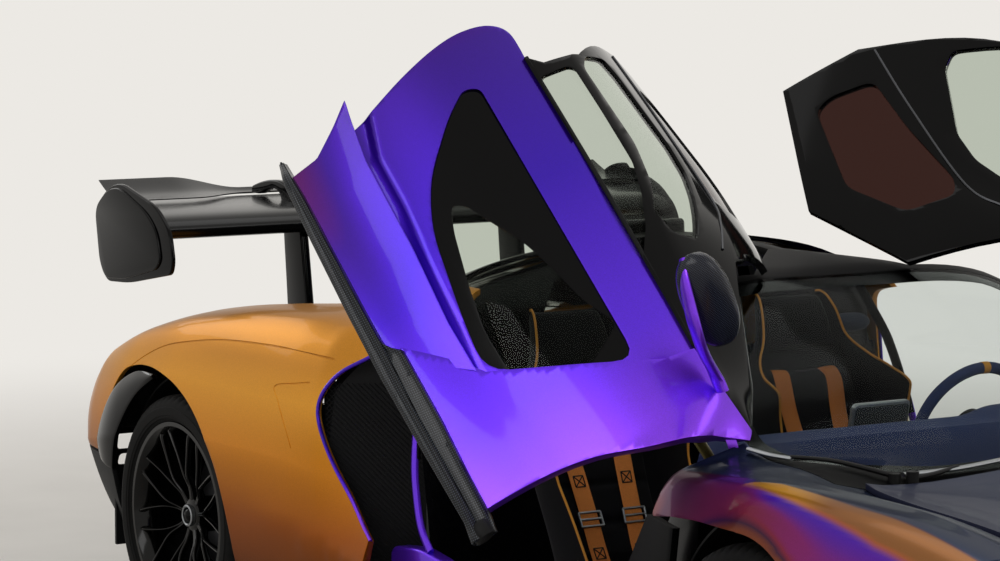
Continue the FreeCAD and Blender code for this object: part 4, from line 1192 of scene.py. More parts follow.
splitter = prism(bothSides(front["splitter"]), "z", 78, 92.5, 40)
dress(
    softenEdges(splitter, 4.0, segments=3), carbonTwill, "root", replaced=["front_splitter"],
    name="splitter_blade",
)
print("front ready")

# rear panels

quarterPanel = {
    # x and z, seen from the side: the intake's edge, the wheel arch, the crease and the two seams
    "intake": [
        (-343, 1010), (-440, 989), (-507, 945), (-573, 891), (-641, 840), (-677, 770), (-668, 700),
        (-616, 592), (-520, 478), (-450, 425),
    ],
    "outline": [
        (-450, 330), (-1100, 230), (-1870, 230), (-1870, 480), (-2232, 480), (-2232, 920), (-700, 1130),
        (-482, 1200),
    ],
    "arch": [
        (-1128, 276), (-1138, 365), (-1162, 455), (-1203, 545), (-1270, 628), (-1350, 690), (-1440, 730),
        (-1536, 752), (-1640, 762), (-1745, 755), (-1832, 728), (-1880, 660), (-1890, 590),
    ],
    "crease": [(-1115, 415), (-942, 398), (-626, 362), (-450, 345)],
    "clamSeam": [
        (-1815, 725), (-1791, 742), (-1700, 786), (-1577, 827), (-1411, 856), (-1226, 877), (-961, 888),
        (-681, 881), (-600, 872),
    ],
    "flapSeam": [(-728, 813), (-790, 804), (-887, 788), (-862, 753), (-820, 690), (-788, 632)],
}
intakeEdge = smoothLine(quarterPanel["intake"])
quarterOutline = [(-343, 1085)] + intakeEdge + quarterPanel["outline"]
archOutline = [(-1128, 150)] + smoothLine(quarterPanel["arch"]) + [(-1890, 150)]


def sideGroove(line, radius=2.6):
    # a seam's shadow line, cut into the flank
    return tube("groove", [(x, flankY(x, z), z) for x, z in line], radius, sides=8, perSpan=6)


def quarterPush(point, u, v):
    # a crease that grows towards the front: soft above, sharp below
    rise = point.z - lineAt(quarterPanel["crease"], point.x)
    reach = smoothStep(-1120, -860, point.x) * smoothStep(-20, 60, -700 - point.y)
    return 10.0 * reach * math.exp(-((rise / 70) if rise > 0 else (rise / 9)) ** 2)


def quarterShadeAndHighlight(x, y, z):
    # burnt copper by the sill, bright copper at the shoulder: partly the paint's own colour, partly painted
    # shade low down and painted highlight high up
    return (z - 230) / 620


quarter = skinSlab("quarter", -2225, -345, 1, 7, 14, perSpan=(2, 8, 36, 10, 10, 7, 7), push=quarterPush)
boolean(quarter, prism([(-2300, -1100), (-2300, -654), (0, -654), (0, -1100)], "z", 0, overhead), "INTERSECT")
quarter = shapedPanel(
    "quarter", quarter, prism(quarterOutline, "y", -outside, 0), [prism(archOutline, "y", -outside, -600)],
    3.0,
)
for seam in ("clamSeam", "flapSeam"):
    boolean(quarter, sideGroove(quarterPanel[seam]))
# copper darker low and brighter high, partly painted shade and painted highlight
pairOf("quarter_panel", quarter, copperPaint, quarterShadeAndHighlight, ["quarter"])
# painted lip round the intake, left out behind the door where nothing shows
lip = tube("lip", [(x, flankY(x, z) + 4, z) for x, z in intakeEdge[14:]], 5.5, sides=10, perSpan=2)
pairOf("intake_lip", lip, violetPaint, lambda x, y, z: 0.95 - 0.6 * smoothStep(420, 760, z))
# black plates behind the intake's mesh
backing = prism([(-743, -895), (-738, -898), (-584, -676), (-589, -673)], "z", 345, 812)
upperBacking = prism([(-718, -870), (-713, -873), (-573, -668), (-578, -665)], "z", 780, 842)
pairOf("intake_backing", joinPieces([backing, upperBacking]), matteBlack)

# woven mesh in the side intake
meshFoot, meshEnd = Vector((-688, -921, 0)), Vector((-540, -708, 0))
meshRun = (meshEnd - meshFoot).normalized()
meshOut = Vector((meshRun.y, -meshRun.x, 0)) * 7
meshWide, meshLow, meshHigh, meshPitch = (meshEnd - meshFoot).length, 345, 815, 15
strands = []
for lean in (1, -1):
    count = int((meshWide + meshHigh - meshLow) / meshPitch)
    for i in range(1, count):
        # how far along the mesh the strand starts and ends, cut off at the mesh's top and bottom
        start = meshLow + i * meshPitch - (0 if lean > 0 else meshWide)
        low, high = sorted((lean * (start - meshHigh), lean * (start - meshLow)))
        low, high = max(0.0, low), min(meshWide, high)
        if high - low < 6:
            continue
        spots = [
            meshFoot + meshRun * u + meshOut * (1 + 0.25 * lean) + Vector((0, 0, start - lean * u))
            for u in (low, high)
        ]
        strands.append(tube("strand", spots, 1.6, sides=5, perSpan=1, up=meshOut))
pairOf("intake_mesh", joinPieces(strands), matteBlack)

# gloss trim that closes the wheel arch behind the tyre, and the bumper's corner below it
trimInner = smoothLine([(-1866, 436), (-1825, 523), (-1765, 605), (-1686, 680), (-1590, 733)], 6)
trimOuter = smoothLine(
    [(-1975, 462), (-1976, 520), (-1930, 600), (-1850, 684), (-1728, 738), (-1594, 745)], 6,
)
archTrim = edgePatch(
    "trim", trimInner, trimOuter, [(-1866, 436), (-1920, 448), (-1975, 462)],
    [(-1590, 733), (-1592, 739), (-1594, 745)], 48, 12, 12,
    inset=-2, push=lambda p, u, v: 6 * math.sin(math.pi * v),
)
pairOf("arch_trim", softenEdges(archTrim, 2.5, segments=3), glossBlack)
ventPanel = prism([(-936, 205), (-648, 205), (-648, 600), (-700, 690), (-936, 690)], "x", -1908, -1898)
for low, high in ((442, 474), (488, 552)):
    boolean(ventPanel, prism([(-930, low), (-800, low), (-790, high), (-922, high)], "x", -1950, -1850, 12))
pairOf("arch_vents", softenEdges(ventPanel, 2.0), matteBlack)
corner = skinSlab("corner", -2228, -1800, 0, 4, 16, step=10, perSpan=8)
cornerOutline = [
    (-2226, 235), (-1805, 160), (-1812, 224), (-1862, 330), (-1872, 440), (-1900, 470), (-2226, 470),
]
boolean(corner, prism(cornerOutline, "y", -outside, -500, 16), "INTERSECT")
corners = pairOf("bumper_corner", softenEdges(corner, 3.0), matteBlack)
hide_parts("rear_bumper")

# painted jamb and sill of the doorway, with the black pillar trim above them
jamb = tube(
    "jamb", [(-404, -814, 716), (-386, -830, 630), (-370, -836, 560), (-338, -841, 470), (-286, -844, 412)],
    14, sides=12, flat=0.6, up=(0, 1, 0),
)
sill = prism(
    [(-470, 212), (-470, 404), (-330, 418), (-200, 396), (-170, 330), (-180, 212)], "y", -856, -808, 30,
)
softenEdges(sill, 10.0, segments=3)
pairOf("sill_jamb", joinPieces([sill, jamb]), violetPaint, lambda x, y, z: 0.8)
pillar = tube(
    "pillar",
    [(-386, -822, 640), (-402, -808, 720), (-430, -772, 850), (-446, -712, 960), (-430, -640, 1050)], 15,
    sides=12, flat=0.6, up=(0.3, 1, 0),
)
pairOf("door_jamb", pillar, satinBlack)

# engine cover with its six slots, three holes for the tail pipes, and a slat in each slot
louvres = {
    "first": -1000, "pitch": 120, "count": 6, "half": 300, "width": 34, "pipes": (-95, 0, 95),
    "pipeRadius": 50,
}
cover = skinSlab("cover_panel", -2228, -484, 5, 7, 14, full=True, perSpan=9)
coverTool = prism([(-2229, -650), (-2229, 650), (-484, 650), (-484, -650)], "z", 600, overhead)
cover = shapedPanel("cover_panel", cover, coverTool)
slats = []
for i in range(louvres["count"]):
    topX = louvres["first"] - louvres["pitch"] * i
    lowX = topX - 30
    slot = [
        (topX, overhead), (lowX, 700), (lowX - louvres["width"], 700), (topX - louvres["width"], overhead),
    ]
    boolean(cover, prism(slot, "y", -louvres["half"], louvres["half"]))
    for half in (-1, 1):
        slatLine = [
            (topX + dx - 12, y * half, roofZ(topX - 12, -y, lift))
            for dx, y, lift in ((8, 4, 6), (4, 150, 7), (0, 296, 6))
        ]
        slats.append(tube("slat", slatLine, 16, sides=12, flat=0.2, up=(0.35, 0, 1)))
pipeLine = Vector((-0.5, 0, 0.866))
for y in louvres["pipes"]:
    pipeFoot = Vector((-1840, y, 700))
    pipeEnds = [pipeFoot, pipeFoot + pipeLine * 300]
    boolean(cover, tube("tool", pipeEnds, louvres["pipeRadius"], sides=40, perSpan=1, up=(0, 1, 0)))
dress(cover, glossBlack, "root", replaced=["engine_cover"])
dress(joinPieces(slats), carbonFine, "root", name="cover_slats")
scoopOutline = [(-490, 1100), (-490, 1228), (-560, 1206), (-660, 1152), (-760, 1090), (-760, 1050)]
scoopBody = softenEdges(prism(scoopOutline, "y", -115, 115), 16.0, segments=4)
boolean(scoopBody, prism([(-470, 1122), (-470, 1217), (-560, 1195), (-620, 1140)], "y", -98, 98))
dress(scoopBody, carbonFine, "root", replaced=["roof_scoop"], name="scoop_body")

# rear wing: thick main plane, and a flap that dips between the pylons
aero = {
    "half": 888, "steps": 80, "dipEnd": (410, 660), "flapRise": 40,
    # x and z of the main plane's section, the end plate, the raised field on it, and the pylon's two sides
    "section": [
        (-2040, 1207), (-1960, 1206), (-1880, 1203), (-1760, 1196), (-1680, 1184), (-1646, 1162),
        (-1642, 1142), (-1668, 1122), (-1760, 1120), (-1880, 1150), (-1960, 1176), (-2040, 1200),
    ],
    "plate": [
        (-2002, 1253), (-2089, 1191), (-2060, 1026), (-2022, 973), (-1878, 979), (-1613, 1024), (-1600, 1063),
        (-1620, 1150), (-1703, 1215), (-1925, 1270),
    ],
    "field": [
        (-2000, 1246), (-2082, 1188), (-2054, 1030), (-2018, 982), (-1890, 990), (-1690, 1034), (-1662, 1064),
        (-1684, 1142), (-1752, 1196), (-1925, 1258),
    ],
    "pylonFront": [
        (-1712, 880), (-1730, 1000), (-1748, 1110), (-1768, 1180), (-1806, 1232), (-1866, 1256),
        (-1930, 1259), (-1995, 1249), (-2048, 1234),
    ],
    "pylonRear": [
        (-2050, 1213), (-2000, 1213), (-1960, 1226), (-1916, 1233), (-1882, 1224), (-1864, 1195),
        (-1855, 1140), (-1850, 1080), (-1838, 960), (-1830, 868),
    ],
}
mainSection = smoothLine(aero["section"], 4)
wingRings, flapRings = [], []
for i in range(aero["steps"] + 1):
    y = -aero["half"] + 2 * aero["half"] * i / aero["steps"]
    high = smoothStep(*aero["dipEnd"], abs(y))
    wingRings.append([(x, y, z) for x, z in mainSection])
    noseX, noseZ = -2046 + 136 * high, 1216 + 2 * high
    tip = (-2087, 1228 + aero["flapRise"] * high)
    middle = ((noseX + tip[0]) / 2, (noseZ + 1228 + aero["flapRise"] * high) / 2 - 10 * high - 2)
    upper = smoothLine([(noseX, noseZ), middle, tip], 6)
    thickness = [9 * math.sin(math.pi * min(1.0, 0.12 + 0.85 * k / 12)) for k in range(len(upper))]
    lower = [(x - 1, z - thick) for (x, z), thick in zip(upper, thickness)]
    flapRings.append([(x, y, z) for x, z in upper + lower[::-1]])
dress(loftRings("wing_plane", wingRings), carbonFine, "root", replaced=["rear_wing"])
dress(loftRings("wing_flap", flapRings), carbonFine, "root")
plate = softenEdges(prism(roundCorners(aero["plate"], 44, 6), "y", -899, -886), 3.5, segments=3)
field = softenEdges(prism(roundCorners(aero["field"], 40, 6), "y", -906, -897), 5.0, segments=3)
pairOf("wing_end_plate", joinPieces([plate, field]), glossBlack)
pylonOutline = smoothLine(aero["pylonFront"], 4) + smoothLine(aero["pylonRear"], 4)
pylon = softenEdges(prism(pylonOutline, "y", -394, -366), 6.0, 35, 3)
pylons = pairOf("wing_pylon", pylon, glossBlack)
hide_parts("wing_pylons")

# tail: mesh between slim lamps; the exhaust tips and the diffuser get their broken edges further down
tailLamp = tube(
    "lamp", [(-2254, -580, 649), (-2255, -675, 650), (-2253, -770, 655)], 8.5, sides=16, perSpan=10,
)
lamps = pairOf("tail_lamp", tailLamp, redLens)
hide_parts("tail_lamps")
meshX, meshHalf = -2238, 548
barLines = [[(meshX, y, 502), (meshX, y, 638)] for y in range(-540, 541, 30)]
barLines += [[(meshX, -meshHalf, z), (meshX, meshHalf, z)] for z in range(520, 621, 20)]
bars = [tube("bar", line, 1.8, sides=5, perSpan=1, up=(1, 0, 0)) for line in barLines]
dress(joinPieces(bars), matteBlack, "root", name="tail_mesh")
print("rear ready")

# wheels and tyres; side is -1 on the right, and distances outboard count from the tyre's middle
wheels = {
    "front": {"x": 1186, "radius": 327, "width": 245, "rim": 256, "y": 818, "dish": 14},
    "rear": {"x": -1484, "radius": 348, "width": 315, "rim": 271, "y": 811, "dish": 22},
    "spokes": 9, "fork": 13.0, "discRadius": 190, "discThickness": 34, "shoulderBlocks": 64,
}


def wheelPieces(axle, side, word):
    size = wheels[axle]
    radius, half, rim = size["radius"], size["width"] / 2, size["rim"]
    centre = (size["x"], side * size["y"], radius)
    body = f"wheel_{axle}_{word}"
    tread = []
    for middle in (-0.62 * half, -0.22 * half, 0.22 * half, 0.62 * half):
        tread += [
            (radius - 0.6, middle - 6), (radius - 7, middle - 4.5), (radius - 7, middle + 4.5),
            (radius - 0.6, middle + 6),
        ]
    sidewall = [
        (rim - 4, 20), (rim + 1, 15), (rim + 7, 9), (rim + 9, 9), (rim + 11, 4), (rim + 17, 3), (rim + 19, 1),
        (rim + 34, 0), (radius - 36, 0.5), (radius - 34, 3), (radius - 22, 6), (radius - 12, 12),
        (radius - 6, 20), (radius - 2.5, 32),
    ]
    profile = [(r, -half + a) for r, a in sidewall] + tread + [(r, half - a) for r, a in reversed(sidewall)]
    inner = [(rim - 4, 38), (rim + 26, 16), (radius - 22, 30)]
    profile += [(r, half - a) for r, a in inner] + [(r, -half + a) for r, a in reversed(inner)]

    def slots(k, r, out):
        # one step in four is cut 5 mm deeper at the shoulders
        deep = k % 4 == 0 and abs(out) > 0.68 * half and r > radius - 15
        return r - 5 if deep else r

    tyre = turned("tyre", profile, centre, side, wheels["shoulderBlocks"] * 4, slots)
    dress(
        tyre, rubber, body, replaced=[f"tyre_{axle}_{word}"], sharp=28,
        name=f"tyre_tread_{axle}_{word}",
    )
    lipProfile = [
        (rim - 1, half - 11), (rim, half - 14), (rim - 2, half - 18), (rim - 15, half - 21),
        (rim - 27, half - 64), (rim - 30, 0), (rim - 24, -half + 40), (rim - 12, -half + 16),
        (rim, -half + 13), (rim - 1, -half + 10), (rim - 14, -half + 8), (rim - 30, -half + 30),
        (rim - 37, -half + 70), (rim - 38, 0), (rim - 36, half - 64), (rim - 25, half - 24),
        (rim - 13, half - 11),
    ]
    pieces = [turned("barrel", lipProfile, centre, side, 120)]
    deep = half - size["dish"]
    hub = [
        (20, deep - 52), (20, deep - 36), (40, deep - 37), (48, deep - 42), (52, deep - 62), (50, -12),
        (74, -26), (74, -32), (20, -32),
    ]
    pieces.append(turned("hub", hub, centre, side, 60))
    axis = Vector((0, side, 0))

    def spot(r, degrees, out):
        angle = math.radians(degrees)
        return Vector(
            (centre[0] + r * math.cos(angle), centre[1] + side * out, centre[2] + r * math.sin(angle))
        )

    def waist(t):
        # thick at both ends, thin in the middle
        return 1.2 - 0.6 * math.sin(math.pi * min(1.0, t * 1.05))

    for i in range(wheels["spokes"]):
        base = 90 + 360 * i / wheels["spokes"]
        for fork in (-1, 1):
            # radius, angle from the spoke's middle, distance outboard
            steps = (
                (40, 4, deep - 54), (80, 2.6, deep - 45), (122, 4.6, half - 48), (178, 9.5, half - 40),
                (rim - 38, wheels["fork"], half - 34), (rim - 22, wheels["fork"] + 1.2, half - 38),
            )
            line = [spot(r, base + turn * fork, out) for r, turn, out in steps]
            pieces.append(tube("arm", line, 6.2, sides=10, perSpan=5, flat=2.2, up=axis, taper=waist))
    dress(
        joinPieces(pieces), wheelBlack, body, replaced=[f"rim_{axle}_{word}"],
        name=f"wheel_{axle}_{word}_forging",
    )
    discRadius, discIn, discOut = wheels["discRadius"], -28 - wheels["discThickness"], -28
    discProfile = [(76, discOut), (discRadius, discOut), (discRadius, discIn), (76, discIn)]
    brake = softenEdges(turned("disc", discProfile, centre, side, 90), 2.0)
    dress(brake, darkSteel, body, name=f"brake_disc_{axle}_{word}")
    lockProfile = [(24, deep - 44), (24, deep - 26), (27, deep - 24), (31, deep - 26), (33, deep - 44)]
    lock = turned("lock", lockProfile, centre, side, 48)
    dress(lock, satinAluminium, body, name=f"centre_lock_{axle}_{word}")
    capProfile = [
        (0.5, deep - 44), (0.5, deep - 20), (9, deep - 21), (16, deep - 25), (23, deep - 34),
        (23.5, deep - 44),
    ]
    cap = turned("cap", capProfile, centre, side, 40)
    dress(cap, glossBlack, body, name=f"centre_cap_{axle}_{word}")


for axle in ("front", "rear"):
    for side, word in carSides:
        wheelPieces(axle, side, word)
print("wheels ready")

# seats with their belts

seat = {
    "centre": 370,
    "shell": 24.0,
    # along the seat's middle: x, z, half width, how far the sides come forward
    "stations": [
        (368, 215, 165, 6), (356, 262, 182, 18), (300, 278, 194, 40), (200, 262, 202, 66),
        (110, 243, 208, 100), (20, 225, 210, 150), (-62, 240, 210, 192), (-122, 330, 207, 186),
        (-174, 440, 205, 165), (-224, 545, 208, 146), (-264, 630, 216, 168), (-298, 712, 224, 200),
        (-315, 775, 220, 140), (-326, 825, 186, 84), (-338, 880, 142, 52), (-352, 945, 126, 40),
        (-372, 992, 112, 26), (-386, 1002, 100, 8),
    ],
    "pads": {
        # from, to, crown's height, seams
        "cushion": (0.07, 0.30, 22, [0.13, 0.19, 0.245]),
        "lumbar": (0.37, 0.59, 20, [0.43, 0.48, 0.535]),
        "shoulder": (0.605, 0.735, 16, []),
        "head": (0.80, 0.955, 20, []),
    },
    "beltHalf": 27.0,
    # each shoulder belt's place across the seat, at the shoulder and at the hip
    "belts": {"belt_a": (-0.24, -0.14), "belt_b": (0.32, 0.2)},
    "beltStops": (0.70, 0.62, 0.54, 0.485, 0.44, 0.375, 0.30, 0.22, 0.15),
}
seatLine = splinePath([(x, z, 0) for x, z, _, _ in seat["stations"]], 4)
seatShape = splinePath([(half, side, 0) for _, _, half, side in seat["stations"]], 4)


def seatPoint(s, v, lift=0.0):
    # a point of the seat's front face: s runs from the cushion's lip to the head, v from -1 to 1 across
    place = min(max(s, 0.0), 1.0) * (len(seatLine) - 1)
    i = min(int(place), len(seatLine) - 2)
    spot = seatLine[i].lerp(seatLine[i + 1], place - i)
    shape = seatShape[i].lerp(seatShape[i + 1], place - i)
    ahead, behind = seatLine[min(i + 2, len(seatLine) - 1)], seatLine[max(i - 1, 0)]
    run = (ahead - behind).normalized()
    normal = Vector((run.y, -run.x))
    a = abs(v)
    across = shape.x * (
        a / 0.62 * 0.88 if a < 0.62 else 0.88 + 0.12 * math.sin((a - 0.62) / 0.38 * math.pi / 2)
    )
    forward = shape.y * (max(0.0, a - 0.5) / 0.5) ** 1.5 + lift
    return Vector((spot.x + normal.x * forward, math.copysign(across, v), spot.y + normal.y * forward))


def seatLoft(name, low, high, wide, front, back, rows=40, across=20):
    # a closed layer over part of the seat, between its front and back distances from the seat's face
    rings = []
    for r in range(rows + 1):
        t = r / rows
        s = low + (high - low) * t
        line = [-wide + 2 * wide * c / across for c in range(across + 1)]
        ring = [seatPoint(s, v, front(s, v, t)) for v in line]
        ring += [seatPoint(s, v, back) for v in reversed(line)]
        rings.append(ring)
    return loftRings(name, rings)


def padCrown(height, wide, seams):
    # a pad swells in the middle and sinks into a channel at each seam
    def lift(s, v, t):
        edge = (1 - abs(2 * t - 1) ** 5) * (1 - abs(v / wide) ** 5)
        channel = sum(math.exp(-((s - seam) / 0.006) ** 2) for seam in seams)
        return 1.0 + height * max(0.0, edge) ** 0.6 * (1 - 0.55 * min(1.0, channel))
    return lift


def beltPath(shoulder, hip, lift=24.0, bulge=10.0):
    # from the slot beside the head down the back, out over the hip and along the cushion
    line = [seatPoint(0.74, shoulder, -30), seatPoint(0.735, shoulder, 6)]
    stops = seat["beltStops"]
    for i, s in enumerate(stops):
        v = shoulder + (hip - shoulder) * i / (len(stops) - 1)
        line.append(seatPoint(s, v, lift + (bulge if i == 5 else 0)))
    return line


def beltFrame(run):
    # directions across the belt and out of it
    side = Vector((0, 1, 0))
    lift = side.cross(run).normalized()
    return side, lift if lift.x > 0 else -lift


def boxStitch(spot, run, size=15.0):
    # a sewn box with a cross in it, lying on the webbing
    side, lift = beltFrame(run)
    corners = [
        spot + side * size * a + run * size * b + lift * 2.6
        for a, b in ((-1, -1), (1, -1), (1, 1), (-1, 1))
    ]
    lines = [(0, 1), (1, 2), (2, 3), (3, 0), (0, 2), (1, 3)]
    return [tube("thread", [corners[a], corners[b]], 1.7, sides=6, perSpan=1, up=lift) for a, b in lines]


def slideBuckle(spot, run, half=34.0, tall=19.0):
    # a frame with a bar across its middle
    side, lift = beltFrame(run)
    base = spot + lift * 5
    ends = [(base + run * tall * b - side * half, base + run * tall * b + side * half) for b in (-1, 0, 1)]
    ends += [(base - run * tall + side * half * a, base + run * tall + side * half * a) for a in (-1, 1)]
    return joinPieces([tube("bar", pair, 3.4, sides=10, perSpan=1, up=lift) for pair in ends])


def seatPair(name, obj, material, nodes=()):
    # a piece drawn round the seat's own middle goes into both seats
    coat(obj, material)
    twin = obj.copy()
    twin.data = obj.data.copy()
    bpy.context.collection.objects.link(twin)
    for piece, (side, word) in zip((obj, twin), carSides):
        piece.name = f"{name}_{word}"
        piece.data.transform(Matrix.Translation((0, side * seat["centre"] * mm, 0)))
        settle(piece, "root", 40, [f"{node}_{word}" for node in nodes])
    return obj, twin


seatShell = seatLoft("shell", 0.0, 1.0, 1.0, lambda s, v, t: 0.0, -seat["shell"], 68, 28)
softenEdges(seatShell, 5.0, segments=3)
seatPair("seat_shell", seatShell, suede, ["seat"])
for padName, (low, high, height, seams) in seat["pads"].items():
    wide = 0.56 if padName != "head" else 0.66
    pad = seatLoft("pad", low, high, wide, padCrown(height, wide, seams), -4.0, 44, 22)
    for piece in seatPair("seat_pad_" + padName, subdivide(pad), suede):
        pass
for side in (-1, 1):
    edgeLine = [seatPoint(0.1 + 0.89 * i / 34, side, -2) + Vector((0, side * 2, 0)) for i in range(35)]
    piping = tube("piping", edgeLine, 3.2, sides=8, perSpan=3)
    seatPair("seat_piping_" + ("inner" if side > 0 else "outer"), piping, orangePiping)

threads, buckles = [], []
for beltName, across in seat["belts"].items():
    path = beltPath(*across)
    belt = tube("belt", path, seat["beltHalf"], sides=16, perSpan=6, flat=0.075, up=(0.75, 0, 0.66))
    seatPair("seat_" + beltName, belt, orangeWebbing)
    for place in (4, 6):
        run = (path[place + 1] - path[place - 1]).normalized()
        threads += boxStitch(path[place], run)
    buckles.append(slideBuckle(path[5], (path[6] - path[4]).normalized()))
seatPair("seat_belt_stitching", joinPieces(threads), blackThread)
seatPair("seat_belt_adjusters", joinPieces(buckles), satinAluminium)
# lap belts and the strap between the legs, which meet in one round buckle
laps = []
for side in (-1, 1):
    lapLine = [
        (-70, side * 196, 330), (-20, side * 178, 300), (40, side * 130, 272), (80, side * 70, 268),
        (110, side * 30, 270),
    ]
    laps.append(tube("lap", lapLine, 22, sides=16, perSpan=6, flat=0.09, up=(0.1, side * -0.4, 1)))
legLine = [(250, 0, 296), (190, 0, 290), (130, 0, 276)]
laps.append(tube("crotch", legLine, 20, sides=16, perSpan=6, flat=0.1, up=(0, 0, 1)))
seatPair("seat_lap_belts", joinPieces(laps), orangeWebbing)
buckleStack = ((270, 24), (272, 30), (284, 31), (289, 27), (290, 12), (286, 8))
buckle = stackedDiscs("buckle", lambda a, b, z: (118 + a, b, z), buckleStack, 28)
seatPair("seat_belt_buckle", buckle, matteBlack)
print("seats ready")

# dashboard: one padded beam, with a hump over the instruments and a dip for the centre screen
dash = {"half": 622, "driver": 370, "hump": 20, "dip": 12, "steps": 62, "foot": 735}
dashRings = []
for i in range(dash["steps"] + 1):
    y = -dash["half"] + 2 * dash["half"] * i / dash["steps"]
    hump = dash["hump"] * math.exp(-((y - dash["driver"]) / 120) ** 4)
    dip = dash["dip"] * math.exp(-(y / 110) ** 4)
    ends = smoothStep(dash["half"], dash["half"] - 60, abs(y))
    profile = [
        (742, 590), (640, 584), (560, 612), (524, 655), (508 + dip, 706), (512 + dip, 748),
        (534, 776 + hump), (575, 788 + hump), (640, 782 + hump * 0.5), (700, 779), (742, 780),
    ]
    ring = splinePath([(x, z, 0) for x, z in profile], 4, closed=True)
    depth, height = 0.72 + 0.28 * ends, 0.9 + 0.1 * ends
    dashRings.append([
        (
            p.x if p.x > dash["foot"] else dash["foot"] + (p.x - dash["foot"]) * depth, y,
            600 + (p.y - 600) * height,
        ) for p in ring
    ])
dress(loftRings("dashboard_pad", dashRings), navySuede, "root", replaced=["dashboard"])
# centre console: x, top, half width, foot
consoleStations = (
    (512, 700, 66, 150), (440, 560, 74, 150), (300, 430, 82, 145), (120, 380, 84, 145),
    (-120, 360, 80, 145), (-330, 350, 76, 150),
)
consoleRings = []
for x, z, half, low in consoleStations:
    corners = [(-half, low), (-half, z - 26), (-half + 22, z), (half - 22, z), (half, z - 26), (half, low)]
    consoleRings.append([(x, y, height) for y, height in corners])
console = subdivide(softenEdges(loftRings("centre_console", consoleRings), 6.0), 1)
dress(console, suede, "root")

# centre screen, seen from behind: a pale frame round a carbon back
screenCentre, screenTilt = Vector((478, 8, 762)), math.radians(12)
screenUp = Vector((math.sin(screenTilt), 0, math.cos(screenTilt)))
screenOut = Vector((math.cos(screenTilt), 0, -math.sin(screenTilt)))


def roundedPlate(half, tall, radius, depths, insets):
    # rings of a rounded rectangle stacked along the screen's axis
    rings = []
    for depth, inset in zip(depths, insets):
        w, h = half - inset, tall - inset
        outline = roundCorners([(-w, -h), (w, -h), (w, h), (-w, h)], radius, 6)
        rings.append(
            [screenCentre + Vector((0, 1, 0)) * y + screenUp * z + screenOut * depth for y, z in outline]
        )
    return loftRings("plate", rings)


dress(
    roundedPlate(92, 70, 16, (-9, -10, -4, 4, 8, 9), (8, 5, 1, 0, 3, 8)), satinAluminium, "root",
    replaced=["centre_screen"], name="screen_body",
)
dress(
    roundedPlate(84, 62, 12, (6, 11, 12), (0, 0, 3)), carbonTwill, "root",
    name="screen_back",
)
dress(
    roundedPlate(86, 64, 8, (-14, -13, -8), (3, 0, 0)), glossBlack, "root",
    name="screen_glass",
)
knobStack = ((-24, 6), (0, 6), (4, 9), (12, 13), (22, 13), (30, 9), (32, 4))
knob = stackedDiscs("knob", lambda a, b, depth: (504 + depth, 42 + a, 712 + b), knobStack, 24)
dress(knob, glossBlack, "root", name="screen_knob")
foot = tube("screen_foot", [(500, 8, 700), (520, 8, 712), (545, 8, 740)], 16, sides=16, up=(0, 1, 0))
dress(foot, matteBlack, "root")

# steering wheel in suede with an orange mark at the top
steer = {"centre": Vector((400, 370, 735)), "tilt": math.radians(22), "radius": 165.0, "grip": 15.0}
steerAxis = Vector((math.cos(steer["tilt"]), 0, -math.sin(steer["tilt"])))
steerUp = Vector((math.sin(steer["tilt"]), 0, math.cos(steer["tilt"])))


def steerPoint(across, up, depth=0.0):
    # a point beside, above and ahead of the steering wheel's middle
    return steer["centre"] + Vector((0, 1, 0)) * across + steerUp * up + steerAxis * depth


def rimPoint(angle):
    # the rim is round, with a flattened foot
    low = max(0.0, -math.sin(angle) - 0.72)
    return steerPoint(steer["radius"] * math.cos(angle), steer["radius"] * (math.sin(angle) + 0.62 * low))


def grip(start, end, radius, closed=False):
    count = 48
    angles = [start + (end - start) * k / count for k in range(count + (0 if closed else 1))]
    return tube(
        "grip", [rimPoint(a) for a in angles], radius, sides=16, perSpan=2, up=steerAxis, closed=closed,
    )


dress(
    grip(0, 2 * math.pi, steer["grip"], True), navySuede, "steering",
    replaced=["steering_wheel"], name="steering_rim",
)
dress(
    grip(math.radians(86.5), math.radians(93.5), steer["grip"] + 0.8), orangePiping, "steering",
    name="steering_mark",
)
spokes = []
for across, up in ((-150, 12), (150, 12), (0, -136)):
    line = [
        steerPoint(across * 0.15, up * 0.15, 4), steerPoint(across * 0.5, up * 0.6 - 6, 6),
        steerPoint(across, up),
    ]
    spokes.append(tube("spoke", line, 21, sides=14, flat=0.3, up=steerAxis, taper=lambda t: 1 - 0.3 * t))
dress(joinPieces(spokes), darkSteel, "steering", name="steering_spokes")
bossStack = ((-14, 22), (-12, 34), (-2, 44), (14, 44), (30, 32), (44, 27), (228, 25))
dress(
    stackedDiscs("boss", steerPoint, bossStack, 32), matteBlack, "steering",
    name="steering_boss",
)

# head-height pads on the pillars behind the seats
for side, word in carSides:
    rings = []
    for k in range(13):
        t = -1 + k / 6
        size = (1 - abs(t) ** 3) ** 0.5 if abs(t) < 1 else 0.1
        rings.append(
            [(-440 + 42 * size * a, side * 640 + 62 * t, 905 + 27 * size * b) for a, b in circle(1, 20)]
        )
    pillarPad = dress(loftRings("pillar_pad_" + word, rings), paleSuede, "root")
print("cabin ready")

# CAD pieces that only need broken edges, and those that only need a finish

